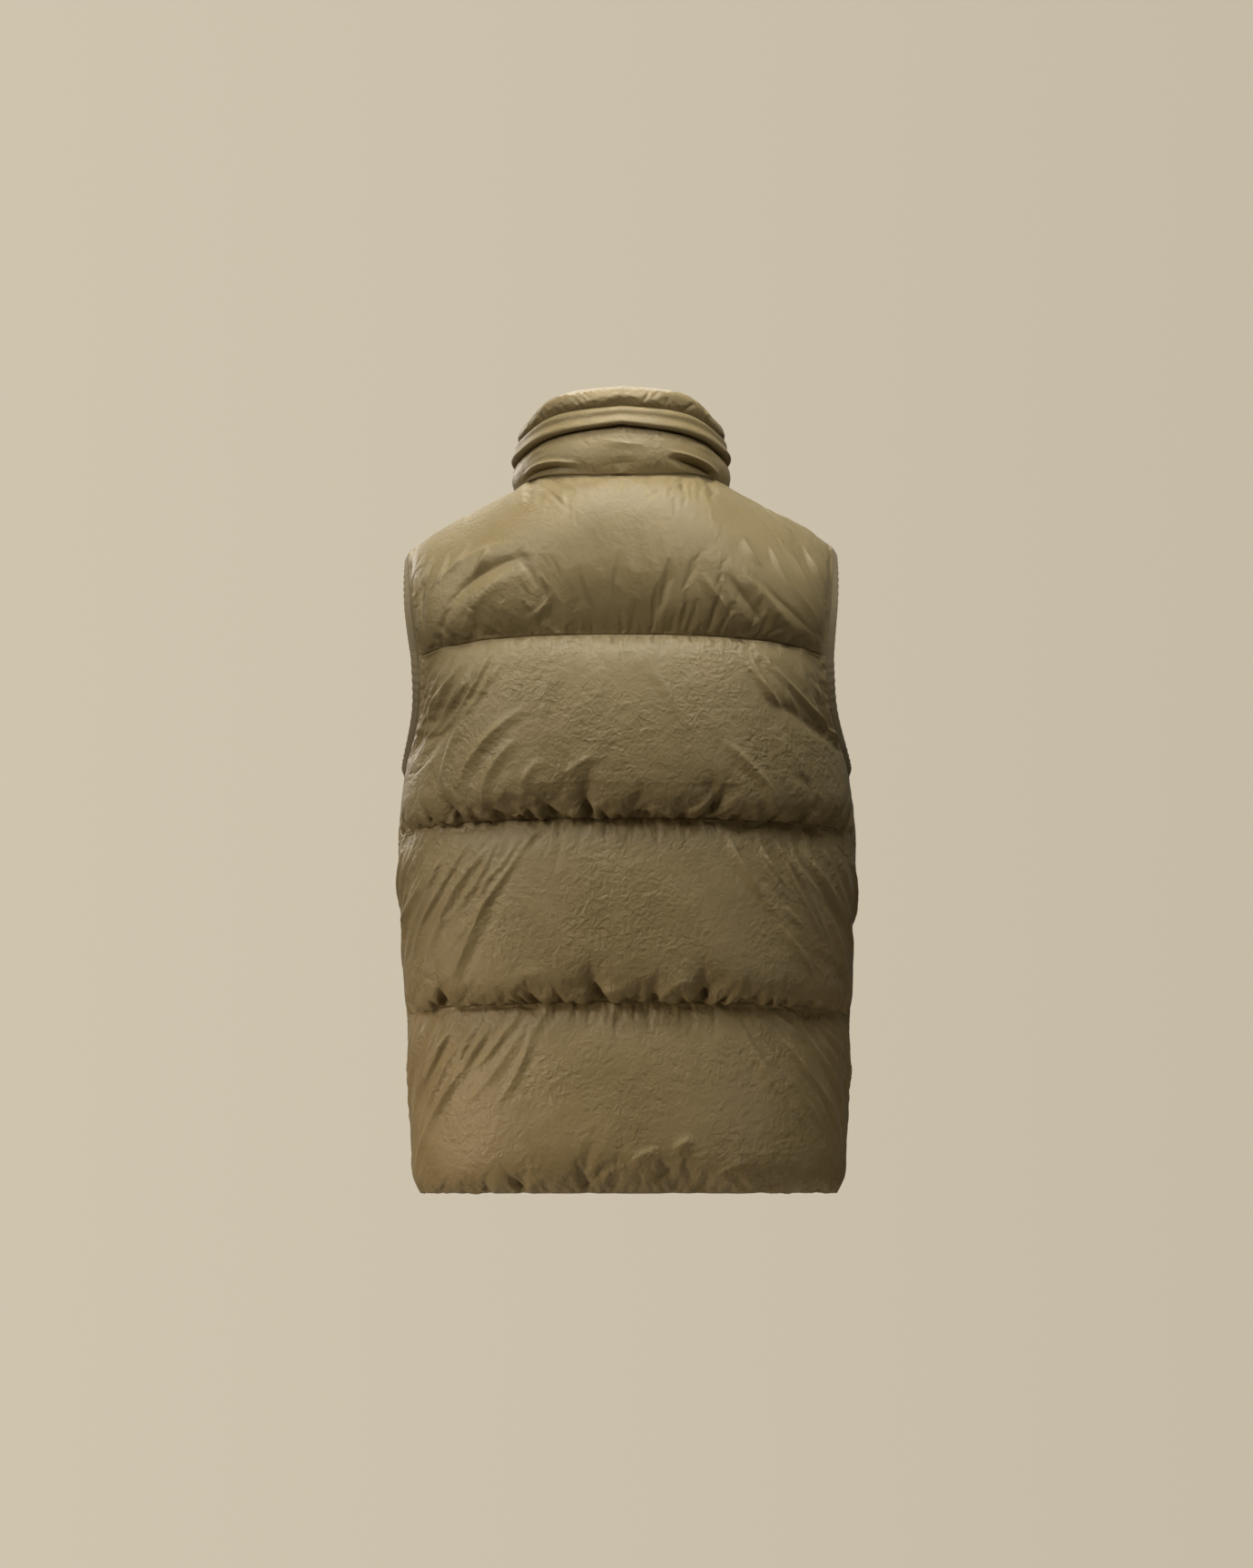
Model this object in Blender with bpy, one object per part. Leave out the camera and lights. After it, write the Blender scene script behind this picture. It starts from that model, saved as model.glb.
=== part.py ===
"""Padded vest with a stand collar, filled out as when worn.

Metres. +Z is up, the back faces +Y, the front faces -Y and the wearer's left is +X. The origin lies
between the neck ends of the shoulder seams, level with the collar's seam at the back. The back and the
two fronts are quilted in four baffles each. Every baffle is a wall of shell cloth, filling and lining:
plain inside, raised outside, and stitched flat along its edges.
"""

from collections import namedtuple

import bmesh
import bpy
import numpy as np

# ---------------------------------------------------------------- driving sizes

GAP = 0.0003              # between two pieces at a seam
LINING = 0.003            # from the seam line in to the lining
SHELL = 0.001             # from the seam line out to the shell cloth at a stitched edge
SIDE_Y = -0.012           # side seams, shoulder seams and armhole centres
SQUARENESS = 2.5          # of the body's level sections, 2 being an ellipse
SHOULDER_SQUARENESS = 2.2
FRONT_EDGE = 0.0105       # from the front's middle to each front's edge

Section = namedtuple("Section", "z half_width back front")
SECTIONS = (              # depths are measured from the side seams
    Section(-0.690, 0.2035, 0.133, 0.106),
    Section(-0.672, 0.2075, 0.135, 0.108),
    Section(-0.640, 0.2092, 0.136, 0.109),
    Section(-0.580, 0.2112, 0.136, 0.110),
    Section(-0.512, 0.2143, 0.136, 0.112),
    Section(-0.427, 0.2173, 0.138, 0.114),
    Section(-0.375, 0.2205, 0.140, 0.115),
    Section(-0.337, 0.2213, 0.141, 0.115),
    Section(-0.283, 0.2140, 0.142, 0.114),
    Section(-0.225, 0.2098, 0.142, 0.111),
    Section(-0.163, 0.2140, 0.140, 0.105),
    Section(-0.130, 0.2140, 0.138, 0.102),
)

Seam = namedtuple("Seam", "back_middle side front_middle")
SEAMS = {
    "hem": Seam(-0.6710, -0.6865, -0.6790),
    "lower": Seam(-0.4922, -0.5120, -0.5040),
    "middle": Seam(-0.3206, -0.3370, -0.3300),
    "upper": Seam(-0.1490, -0.1630, -0.1560),
}
SEAM_BOW = 2.2            # how late a seam turns down towards the side

Baffle = namedtuple("Baffle", "bottom top fullness side_fullness belly")
BAFFLES = {               # fullness is the loft over the lining at the middle, belly its height in the baffle
    "yoke": Baffle("upper", None, 0.019, 0.007, 0.28),
    "chest": Baffle("middle", "upper", 0.024, 0.004, 0.34),
    "waist": Baffle("lower", "middle", 0.024, 0.004, 0.36),
    "hem": Baffle("hem", "lower", 0.020, 0.004, 0.34),
}

SHOULDER_LOFT = 0.014     # loft of the yoke where it faces up
RIDGE_LOFT = 0.7          # share of the yoke's loft that is left at the top of the shoulders
RIDGE_PINCH = 0.010       # how far the shoulder seam and the neck seam draw the loft down
NECK_PINCH = 0.026

NECK_HALF_WIDTH = 0.1035
NECK_BACK = 0.115         # from the shoulder seams back to the collar
NECK_FRONT = 0.070

Crest = namedtuple("Crest", "x back front")
CRESTS = (                # height to which each upright section of the shoulders would rise
    Crest(0.000, 0.0954, -0.0276),
    Crest(0.030, 0.0607, -0.0281),
    Crest(0.052, 0.0353, -0.0290),
    Crest(0.073, 0.0216, -0.0272),
    Crest(0.090, 0.0088, -0.0205),
    Crest(0.1035, -0.0050, -0.0060),
    Crest(0.120, -0.0178, -0.0178),
    Crest(0.142, -0.0305, -0.0305),
    Crest(0.164, -0.0405, -0.0405),
    Crest(0.182, -0.0492, -0.0492),
    Crest(0.205, -0.0625, -0.0625),
)

CREST_REACH = 4           # the higher, the closer to the neck and shoulder seams the table's shape is kept
SHOULDER_DROP = 0.011     # slope by which the left shoulder sits lower than the right one

ARMHOLE_DROP = 0.120      # below the upper seam
ARMHOLE_BACK = 0.078      # from the shoulder seam's line to the back edge
ARMHOLE_FRONT = 0.052
ARMHOLE_TOP_X = 0.204
BINDING_WIDTH = 0.0115
BINDING_THICKNESS = 0.003
BINDING_OUT = (0.25, 0.72)                # share of its width that stands outwards: at the bottom, above

Lean = namedtuple("Lean", "z shift")
LEANS = (                 # the vest hangs a little to its left at the shoulders and to its right at the hem
    Lean(-0.69, -0.0022),
    Lean(-0.50, -0.0018),
    Lean(-0.38, -0.0008),
    Lean(-0.27, 0.0000),
    Lean(-0.20, 0.0025),
    Lean(-0.14, 0.0050),
    Lean(-0.08, 0.0052),
    Lean(0.10, 0.0050),
)

Collar = namedtuple("Collar", "angle seam_low seam_high top")
COLLAR = (                # heights round the collar, from the back's middle to the front's
    Collar(0, 0.0490, 0.0675, 0.0868),
    Collar(45, 0.0386, 0.0596, 0.0800),
    Collar(67, 0.0285, 0.0482, 0.0670),
    Collar(90, 0.0215, 0.0420, 0.0580),
    Collar(135, 0.0080, 0.0290, 0.0430),
    Collar(180, 0.0020, 0.0240, 0.0370),
)

Strip = namedtuple("Strip", "share outward")
STAND = {                 # share of the height, and how far out from the neck seam
    "outer": (Strip(0, -0.0005), Strip(0.15, 0.0015), Strip(0.4, 0.0030), Strip(0.7, 0.0020),
              Strip(0.92, -0.0005), Strip(1, -0.0025)),
    "inner": (Strip(0, -0.0070), Strip(0.5, -0.0110), Strip(1, -0.0110)),
}
BAND = {
    "outer": (Strip(0, 0.0000), Strip(0.12, 0.0006), Strip(0.55, -0.0012), Strip(0.9, -0.0035),
              Strip(1, -0.0050)),
    "inner": (Strip(0, -0.0110), Strip(0.5, -0.0130), Strip(1, -0.0130)),
}
ROLL = {
    "outer": (Strip(0, -0.0055), Strip(0.2, -0.0035), Strip(0.5, -0.0045), Strip(0.78, -0.0080),
              Strip(0.95, -0.0125)),
    "inner": (Strip(0, -0.0140), Strip(0.25, -0.0230), Strip(0.6, -0.0250), Strip(0.93, -0.0190)),
}

TAPE_INNER = 0.0020       # from the front's middle to the tape's edge, where the teeth are
TAPE_THICKNESS = 0.0010
TAPE_TOP = 0.0300
TAPE_DEPTH_IN_COLLAR = 0.0030

SLIDER_Z = 0.0150         # middle of the slider
SLIDER_WIDTH = 0.0090
SLIDER_LENGTH = 0.0125
SLIDER_PLATE = 0.0012
SLIDER_MOUTH = 0.0034     # between its plates
BAIL_WIDTH = 0.0024
BAIL_BAR = 0.0012
BAIL_HOLE = (0.0022, 0.0034)              # depth and height of the eye that holds the pull
PULL_WIDTH = 0.0070
PULL_LENGTH = 0.0280
PULL_THICKNESS = 0.0013
PULL_EYE = (0.0034, 0.0050)               # width and height
PULL_DROP = 0.0007                        # the pull's bar below the middle of the bail

# Gathers along the seams, one for every two columns: their height, and their reach into the baffle
Gathers = namedtuple("Gathers", "height reach")
GATHERS = {
    "upper": Gathers(0.0016, 0.16),
    "middle": Gathers(0.0024, 0.20),
    "lower": Gathers(0.0022, 0.18),
    "hem": Gathers(0.0010, 0.10),
}

# Large folds of the back's shell cloth, in millimetres: two ends, how far the fold bows towards the
# back's middle, its width and its depth. A raised fold has a negative depth.
Fold = namedtuple("Fold", "x0 z0 x1 z1 bow width depth")
FOLDS = (
    Fold(90, -84, 172, -142, -14, 9, 8.0),
    Fold(104, -106, 146, -146, -7, 8, 6.0),
    Fold(120, -66, 190, -104, -8, 10, 3.0),
    Fold(-84, -84, -178, -156, 9, 10, 8.0),
    Fold(-104, -58, -160, -112, 7, 9, 5.0),
    Fold(-160, -62, -188, -120, 5, 8, 5.0),
    Fold(166, -166, 192, -212, -7, 8, 5.0),
    Fold(140, -163, 190, -236, -12, 8, 6.0),
    Fold(92, -216, 146, -316, -14, 11, 8.0),
    Fold(112, -190, 166, -300, -13, 9, 6.0),
    Fold(-120, -166, -200, -262, 6, 9, 7.0),
    Fold(-142, -168, -190, -222, 5, 8, 6.0),
    Fold(-88, -236, -146, -312, 9, 10, 6.0),
    Fold(158, -340, 204, -444, -12, 9, 6.0),
    Fold(116, -340, 184, -458, -14, 10, 6.0),
    Fold(-132, -345, -202, -466, 12, 10, 6.5),
    Fold(-168, -345, -206, -410, 8, 9, 5.0),
    Fold(108, -512, 194, -664, -20, 10, 7.0),
    Fold(146, -510, 200, -620, -12, 9, 6.0),
    Fold(-140, -508, -196, -556, 8, 9, 6.0),
)

# Rows of points up a baffle and columns across a panel
YOKE_ROWS = (0, 0.035, 0.10, 0.20, 0.32, 0.46, 0.60, 0.74, 0.86, 0.95, 1)
CHEST_ROWS = (0, 0.035, 0.10, 0.19, 0.26, 0.31, 0.335, 0.385, 0.47, 0.60, 0.75, 0.90, 1)
PLAIN_ROWS = (0, 0.035, 0.10, 0.20, 0.33, 0.48, 0.64, 0.80, 0.93, 1)
SPARSE_ROWS = (0, 0.05, 0.16, 0.34, 0.55, 0.78, 0.93, 1)
LINING_ROWS = (0, 0.33, 0.67, 1)
BACK_COLUMNS = (12, 18)   # within the neck's half width, and beyond it
FRONT_COLUMNS = (9, 8)
COLLAR_COLUMNS = 38


# ---------------------------------------------------------------- curves

def through(at, places, values):
    """A smooth curve through a table's values, read at the given places."""
    places, values = np.asarray(places, float), np.asarray(values, float)
    slope = np.gradient(values, places)
    i = np.clip(np.searchsorted(places, at) - 1, 0, len(places) - 2)
    step = places[i + 1] - places[i]
    t = np.clip((at - places[i]) / step, 0, 1)
    rise = t * t * (3 - 2 * t)
    turn = t * (1 - t) ** 2 * slope[i] - t * t * (1 - t) * slope[i + 1]
    return values[i] + rise * (values[i + 1] - values[i]) + step * turn


def ease(low, high, at):
    """0 below low, 1 above high and smooth between them."""
    t = np.clip((at - low) / (high - low), 0, 1)
    return t * t * (3 - 2 * t)


def columns_of(table):
    return {name: np.array([getattr(row, name) for row in table], float) for name in table[0]._fields}


def unit(vectors):
    return vectors / np.linalg.norm(vectors, axis=-1, keepdims=True)


BODY = columns_of(SECTIONS)
CREST = columns_of(CRESTS)
RING = columns_of(COLLAR)
HANG = columns_of(LEANS)


# ---------------------------------------------------------------- the body's surface

def seam_height(name, facing, across):
    """Height of a seam at a share of the way from the panel's middle to its side."""
    seam = SEAMS[name]
    middle = seam.back_middle if facing > 0 else seam.front_middle
    return middle + (seam.side - middle) * across ** SEAM_BOW


def section_angle(z, facing, across):
    """Angle on the level section at z, from a quarter turn at the middle to the side seam or armhole."""
    half_width = through(z, BODY["z"], BODY["half_width"])
    depth = through(z, BODY["z"], BODY["back" if facing > 0 else "front"])
    reach = ARMHOLE_BACK if facing > 0 else ARMHOLE_FRONT
    fall = np.clip((SEAMS["upper"].side - z) / ARMHOLE_DROP, 0, 1)
    cut = reach * np.sqrt(1 - fall ** 2) / depth
    side = np.arcsin(np.clip(cut, 0, 1) ** (SQUARENESS / 2))
    edge = FRONT_EDGE if facing < 0 else 0.0
    middle = np.arccos((edge / half_width) ** (SQUARENESS / 2))
    even = across * (0.82 + 0.18 * across)
    return middle + (side - middle) * even, half_width, depth


def level_point(z, facing, across):
    """Point and outward direction on the body below the upper seam, on the wearer's left."""
    angle, half_width, depth = section_angle(z, facing, across)
    power = 2 / SQUARENESS
    along, away = np.cos(angle) ** power, np.sin(angle) ** power
    point = np.stack([half_width * along, SIDE_Y + facing * depth * away, z], -1)
    step = 0.002
    name = "back" if facing > 0 else "front"
    wider = (through(z + step, BODY["z"], BODY["half_width"]) - half_width) / step
    deeper = (through(z + step, BODY["z"], BODY[name]) - depth) / step
    steep = SQUARENESS - 1
    out = np.stack([
        along ** steep / half_width,
        facing * away ** steep / depth,
        -(along ** SQUARENESS * wider / half_width + away ** SQUARENESS * deeper / depth),
    ], -1)
    return point, unit(out)


def shoulder_frame(facing, across):
    """What fixes a panel's upright section at a share of its width: foot, crest and end of the cloth."""
    foot_z = seam_height("upper", facing, across)
    foot, _ = level_point(foot_z, facing, across)
    edge_x = level_point(foot_z, facing, np.ones_like(across))[0][..., 0]
    top_x = foot[..., 0] * ARMHOLE_TOP_X / edge_x
    crest_z = through(top_x, CREST["x"], CREST["back" if facing > 0 else "front"])
    depth = np.abs(foot[..., 1] - SIDE_Y)
    ring = np.sqrt(np.clip(1 - (top_x / NECK_HALF_WIDTH) ** 2, 0, 1))
    neck = (NECK_BACK if facing > 0 else NECK_FRONT) * ring
    end = np.arccos(np.clip(neck / depth, 0, 1) ** (SHOULDER_SQUARENESS / 2))
    return foot, top_x, crest_z, depth, end


def shoulder_point(facing, across, turn):
    """Point on the uncut shoulder: turn is 0 at the upper seam and a quarter turn at the crest."""
    foot, top_x, crest_z, depth, _ = shoulder_frame(facing, across)
    power = 2 / SHOULDER_SQUARENESS
    rise, away = np.sin(turn) ** power, np.cos(turn) ** power
    x = foot[..., 0] + (top_x - foot[..., 0]) * rise
    crests = CREST["back" if facing > 0 else "front"]
    easy = crests[-1] + (crests[0] - crests[-1]) * (1 + np.cos(np.pi * top_x / ARMHOLE_TOP_X)) / 2
    z = foot[..., 2] + (easy - foot[..., 2]) * rise + (crest_z - easy) * rise ** CREST_REACH
    return np.stack([x, SIDE_Y + facing * depth * away, z], -1)


def neck_edge(facing):
    """Points along a yoke's neck edge, from its middle to the shoulder seam."""
    fine = np.linspace(0, 1, 120)
    _, top_x, _, _, end = shoulder_frame(facing, fine)
    inside = top_x <= NECK_HALF_WIDTH
    return shoulder_point(facing, fine[inside], end[inside])


def yoke_point(facing, across, up):
    """Point and outward direction on the body above the upper seam."""
    end = shoulder_frame(facing, across)[-1]
    turn = end * up
    step = 1e-3
    sideways = np.clip(across, step, 1 - step)
    over = np.clip(turn, step, np.pi / 2 - step)
    d_across = shoulder_point(facing, sideways + step, over) - shoulder_point(facing, sideways - step, over)
    d_turn = shoulder_point(facing, sideways, over + step) - shoulder_point(facing, sideways, over - step)
    out = np.cross(d_across, d_turn) * -facing
    return shoulder_point(facing, across, turn), unit(out)


def surface(baffle, facing, across, up):
    """Seam-level point and outward direction on a baffle of the left half."""
    across, up = np.broadcast_arrays(np.asarray(across, float), np.asarray(up, float))
    if BAFFLES[baffle].top is None:
        return yoke_point(facing, across, up)
    low = seam_height(BAFFLES[baffle].bottom, facing, across)
    high = seam_height(BAFFLES[baffle].top, facing, across)
    return level_point(low + (high - low) * up, facing, across)


def lean(points):
    """Shift points sideways as the vest hangs."""
    moved = np.array(points, float)
    moved[..., 2] -= SHOULDER_DROP * moved[..., 0] * ease(-0.16, -0.05, moved[..., 2])
    moved[..., 0] += through(moved[..., 2], HANG["z"], HANG["shift"])
    return moved


NECK_EDGES = {facing: neck_edge(facing) for facing in (1, -1)}


# ---------------------------------------------------------------- loft, gathers and folds

def loft(baffle, facing, across, up):
    """Share of the full loft at a place in a baffle: round underneath, and long and easy above."""
    belly = BAFFLES[baffle].belly
    if BAFFLES[baffle].top is not None:
        under = np.sqrt(1 - (1 - np.clip(up / belly, 0, 1)) ** 2)
        over = np.clip((1 - up) / (1 - belly), 0, 1)
        return np.where(up < belly, under, np.sin(np.pi / 2 * over) ** 0.85)
    across, up = np.broadcast_arrays(across, up)
    turn = shoulder_frame(facing, across)[-1] * up
    rise = turn / (np.pi / 2)
    under = np.sqrt(1 - (1 - np.clip(rise / belly, 0, 1)) ** 2)
    over = 1 - (1 - RIDGE_LOFT) * ease(belly, 1, rise)
    point = shoulder_point(facing, across, turn)
    to_neck = np.linalg.norm(point[..., None, :] - NECK_EDGES[facing], axis=-1).min(-1)
    to_seam = np.abs(point[..., 1] - SIDE_Y)
    drawn = (1 - np.exp(-to_neck / NECK_PINCH)) * (1 - np.exp(-to_seam / RIDGE_PINCH))
    return under * over * drawn * ease(0, 0.04, 1 - up)


def gathers_at(baffle, across, up):
    """Height of the seam gathers: every other column is raised, unevenly, and fades away from the seam."""
    height = np.zeros(np.broadcast(across, up).shape)
    beat = np.where(np.arange(across.shape[-1]) % 2, 1.0, -1.0)
    uneven = 0.7 + 0.3 * np.sin(11.0 * across + 2.0) * np.sin(29.0 * across + 1.0)
    for seam, away in ((BAFFLES[baffle].bottom, up), (BAFFLES[baffle].top, 1 - up)):
        if seam is not None:
            fade = np.exp(-(away / GATHERS[seam].reach) ** 2) * ease(0, 0.035, away)
            height += GATHERS[seam].height * uneven * beat * fade
    return height


def folds_at(points):
    """How far the large folds press the back's shell cloth in at these points."""
    x, z = points[..., 0], points[..., 2]
    depth = np.zeros(x.shape)
    for fold in FOLDS:
        start, end = np.array([fold.x0, fold.z0]) / 1000, np.array([fold.x1, fold.z1]) / 1000
        run = end - start
        length = np.hypot(*run)
        side = np.array([-run[1], run[0]]) / length
        share = ((x - start[0]) * run[0] + (z - start[1]) * run[1]) / length ** 2
        off = (x - start[0]) * side[0] + (z - start[1]) * side[1]
        bowed = off - fold.bow / 1000 * 4 * share * (1 - share)
        taper = np.sin(np.pi * np.clip(share, 0, 1)) ** 0.6
        depth += fold.depth / 1000 * taper * np.exp(-(bowed / (fold.width / 1000)) ** 2)
    return depth


# ---------------------------------------------------------------- making solids

def material(name, colour, roughness, metallic=0.0):
    made = bpy.data.materials.new(name)
    made.use_nodes = True
    shader = made.node_tree.nodes["Principled BSDF"]
    shader.inputs["Base Color"].default_value = (*colour, 1.0)
    shader.inputs["Roughness"].default_value = roughness
    shader.inputs["Metallic"].default_value = metallic
    made.diffuse_color = (*colour, 1.0)
    return made


def add_solid(name, points, faces, finish):
    mesh = bpy.data.meshes.new(name)
    mesh.from_pydata([tuple(p) for p in points], [], faces)
    shape = bmesh.new()
    shape.from_mesh(mesh)
    bmesh.ops.recalc_face_normals(shape, faces=shape.faces)
    bmesh.ops.triangulate(shape, faces=shape.faces)
    shape.to_mesh(mesh)
    shape.free()
    mesh.shade_smooth()
    mesh.set_sharp_from_angle(angle=np.radians(50))
    mesh.materials.append(finish)
    thing = bpy.data.objects.new(name, mesh)
    bpy.context.scene.collection.objects.link(thing)
    return thing


def joined_edge(first, first_at, second, second_at):
    """Faces between two edges of points whose places along the edge are given."""
    faces, i, j = [], 0, 0
    while i < len(first) - 1 or j < len(second) - 1:
        next_first = first_at[i + 1] if i < len(first) - 1 else 9.0
        next_second = second_at[j + 1] if j < len(second) - 1 else 9.0
        if abs(next_first - next_second) < 1e-6:
            faces.append((first[i], second[j], second[j + 1], first[i + 1]))
            i, j = i + 1, j + 1
        elif next_first < next_second:
            faces.append((first[i], second[j], first[i + 1]))
            i += 1
        else:
            faces.append((first[i], second[j], second[j + 1]))
            j += 1
    return faces


def add_wall(name, outer, outer_at, inner, inner_at, finish):
    """A closed wall between two grids of points; each has its places up its rows and along its columns."""
    points, faces, numbers = [], [], []
    for grid in (outer, inner):
        rows, columns = grid.shape[:2]
        number = np.arange(rows * columns).reshape(rows, columns) + len(points)
        numbers.append(number)
        points.extend(grid.reshape(-1, 3))
        for r in range(rows - 1):
            for c in range(columns - 1):
                faces.append((number[r, c], number[r, c + 1], number[r + 1, c + 1], number[r + 1, c]))
    (rows_a, columns_a), (rows_b, columns_b) = outer_at, inner_at
    a, b = numbers
    for edge in (0, -1):
        faces += joined_edge(a[edge], columns_a, b[edge], columns_b)
        faces += joined_edge(a[:, edge], rows_a, b[:, edge], rows_b)
    return add_solid(name, points, [tuple(int(n) for n in face) for face in faces], finish)


def add_ring(name, loops, finish):
    """A closed ring through equal loops of points."""
    count, size = len(loops), len(loops[0])
    faces = []
    for i in range(count):
        for j in range(size):
            k, following = (j + 1) % size, (i + 1) % count
            faces.append((i * size + j, i * size + k, following * size + k, following * size + j))
    return add_solid(name, np.concatenate(loops), faces, finish)


# ---------------------------------------------------------------- the quilted panels

def panel_columns(facing):
    """Shares across a panel, from its middle to its side, closer together beside the neck."""
    inner, outer = BACK_COLUMNS if facing > 0 else FRONT_COLUMNS
    fine = np.linspace(0, 1, 400)
    corner = np.interp(NECK_HALF_WIDTH, shoulder_frame(facing, fine)[1], fine)
    near = corner * (1 - (1 - np.linspace(0, 1, inner + 1)) ** 1.25)
    return np.concatenate([near, np.linspace(corner, 1, outer + 1)[1:]])


def trimmed(shares, length):
    """Shares from 0 to 1 with half a gap taken off each end."""
    shares = np.array(shares, float)
    shares[0] += GAP / 2 / length
    shares[-1] -= GAP / 2 / length
    return shares


def raised(baffle, facing, across, up, sign):
    """Shell-side and lining-side points of a baffle on one side of the body."""
    point, out = surface(baffle, facing, across, up)
    size = BAFFLES[baffle]
    full = size.side_fullness + (size.fullness - size.side_fullness) * np.abs(out[..., 1]) ** 1.5
    if size.top is None:
        full = full + (SHOULDER_LOFT - full) * np.clip(out[..., 2], 0, 1)
    edges = np.clip(1 - across ** 9, 0, 1) ** 0.6
    if facing < 0:
        edges = edges * np.clip(1 - (1 - across) ** 14, 0, 1) ** 0.6
    share = loft(baffle, facing, across, up) * edges
    height = full * share + gathers_at(baffle, across, up) * edges
    placed = point * np.array([sign, 1, 1])
    if facing > 0:
        height = height - folds_at(placed) * share
    out = out * np.array([sign, 1, 1])
    height = np.maximum(height, 0)[..., None]
    return lean(placed + out * (SHELL + height)), lean(placed - out * LINING)


def rows_of(baffle, facing):
    rows = {"yoke": YOKE_ROWS, "chest": CHEST_ROWS}.get(baffle, PLAIN_ROWS if facing > 0 else SPARSE_ROWS)
    lining = rows if baffle in ("yoke", "chest") else LINING_ROWS
    return rows, lining


def baffle_grids(baffle, facing, sign, mirrored):
    """Outer and inner grids of a baffle, with their places: one half, or both where mirrored."""
    shares = panel_columns(facing)
    lining_shares = np.concatenate([shares[:-1:2], shares[-1:]])
    rows, lining_rows = (trimmed(r, 0.17) for r in rows_of(baffle, facing))
    grids = []
    for layer, (up, across) in enumerate(((rows, shares), (lining_rows, lining_shares))):
        across = np.array(across)
        across[-1] -= GAP / 2 / 0.3
        right = raised(baffle, facing, across[None], up[:, None], -sign)[layer]
        left = raised(baffle, facing, across[None], up[:, None], sign)[layer]
        if mirrored:
            grid = np.concatenate([right[:, :0:-1], left], 1)
            places = np.concatenate([-across[:0:-1], across])
        else:
            grid, places = left, across
        grids.append((grid, (up, places)))
    return grids


def add_baffle(name, baffle, facing, sign, mirrored, finish):
    (outer, outer_at), (inner, inner_at) = baffle_grids(baffle, facing, sign, mirrored)
    return add_wall(name, outer, outer_at, inner, inner_at, finish)


# ---------------------------------------------------------------- armhole bindings

def armhole_edge():
    """Points and outward directions round the left armhole, from the panels' own rows."""
    low = SEAMS["middle"].side
    bottom = (SEAMS["upper"].side - ARMHOLE_DROP - low) / (SEAMS["upper"].side - low)
    open_rows = [r for r in CHEST_ROWS if r > bottom]
    points, outs = [], []
    for facing in (1, -1):
        chest = [surface("chest", facing, 1.0, r) for r in [bottom] + open_rows]
        yoke = [surface("yoke", facing, 1.0, r) for r in YOKE_ROWS[1:]]
        run = chest + yoke
        if facing < 0:
            run = run[::-1][1:-1]
        points += [p for p, _ in run]
        outs += [n for _, n in run]
    return np.array(points), np.array(outs)


def binding_loops(sign):
    """Cross-sections of a binding: it starts on the panels' edge and stands out towards the arm."""
    edge, out = armhole_edge()
    along = unit(np.roll(edge, -1, 0) - np.roll(edge, 1, 0))
    hole = unit((edge.mean(0) - edge) * np.array([0, 1, 1]))
    inward = np.cross(out, along)
    inward = unit(inward * np.sign((inward * hole).sum(-1, keepdims=True)))
    upper = ease(-0.285, -0.19, edge[:, 2])[:, None]
    outward = BINDING_OUT[0] + (BINDING_OUT[1] - BINDING_OUT[0]) * upper
    across = unit(outward * np.array([1.0, 0, 0]) + (1 - outward) * hole)
    thick = unit(np.cross(across, along))
    thick = thick * np.sign((thick * out).sum(-1, keepdims=True)) * BINDING_THICKNESS / 2
    near = edge + inward * GAP
    far = edge + across * BINDING_WIDTH
    middle, rim = (near + far) / 2, far - across * BINDING_THICKNESS / 3
    shape = (near - out * LINING, middle - thick, rim - thick, far, rim + thick, middle + thick,
             near + out * SHELL)
    return list(lean(np.stack(shape, 1) * np.array([sign, 1, 1])))


# ---------------------------------------------------------------- collar

def neck_seam(angles):
    """Height of the neck seam round the collar, read from the yokes' own edges."""
    back, front = NECK_EDGES[1], NECK_EDGES[-1][::-1]
    x = np.concatenate([back[:, 0], front[:, 0]])
    swing = np.degrees(np.arcsin(np.clip(x / NECK_HALF_WIDTH, 0, 1)))
    swing[len(back):] = 180 - swing[len(back):]
    return np.interp(np.abs(np.degrees(angles)), swing, np.concatenate([back[:, 2], front[:, 2]]))


def collar_ring(angles, outward, z):
    """Points round the neck: angles run from the back's middle to the left for positive values."""
    depth = np.where(np.cos(angles) > 0, NECK_BACK, NECK_FRONT)
    x = (NECK_HALF_WIDTH + outward) * np.sin(angles)
    y = SIDE_Y + (depth + outward) * np.cos(angles)
    x = np.where((y < SIDE_Y) & (np.abs(x) < FRONT_EDGE), np.sign(x) * FRONT_EDGE, x)
    return np.stack(np.broadcast_arrays(x, y, z), -1)


def collar_heights(angles):
    around = np.abs(np.degrees(angles))
    return [through(around, RING["angle"], RING[name]) for name in ("seam_low", "seam_high", "top")]


def add_collar_part(name, strips, low, high, angles, finish):
    """One strip of the collar, from its shares of height and outward places."""
    grids = []
    front = np.pi - np.abs(angles)
    calm = ease(0.0, 0.35, front)
    for side in ("outer", "inner"):
        rows = []
        for strip in strips[side]:
            edge = strips["outer"][0].outward if side == "outer" else strips["inner"][0].outward
            outward = edge + (strip.outward - edge) * (0.35 + 0.65 * calm)
            rows.append(collar_ring(angles, outward, low + (high - low) * strip.share))
        grids.append(lean(np.array(rows)))
    places = (angles - angles[0]) / (angles[-1] - angles[0])
    outer_rows, inner_rows = ([s.share for s in strips[side]] for side in ("outer", "inner"))
    return add_wall(name, grids[0], (outer_rows, places), grids[1], (inner_rows, places), finish)


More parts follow.
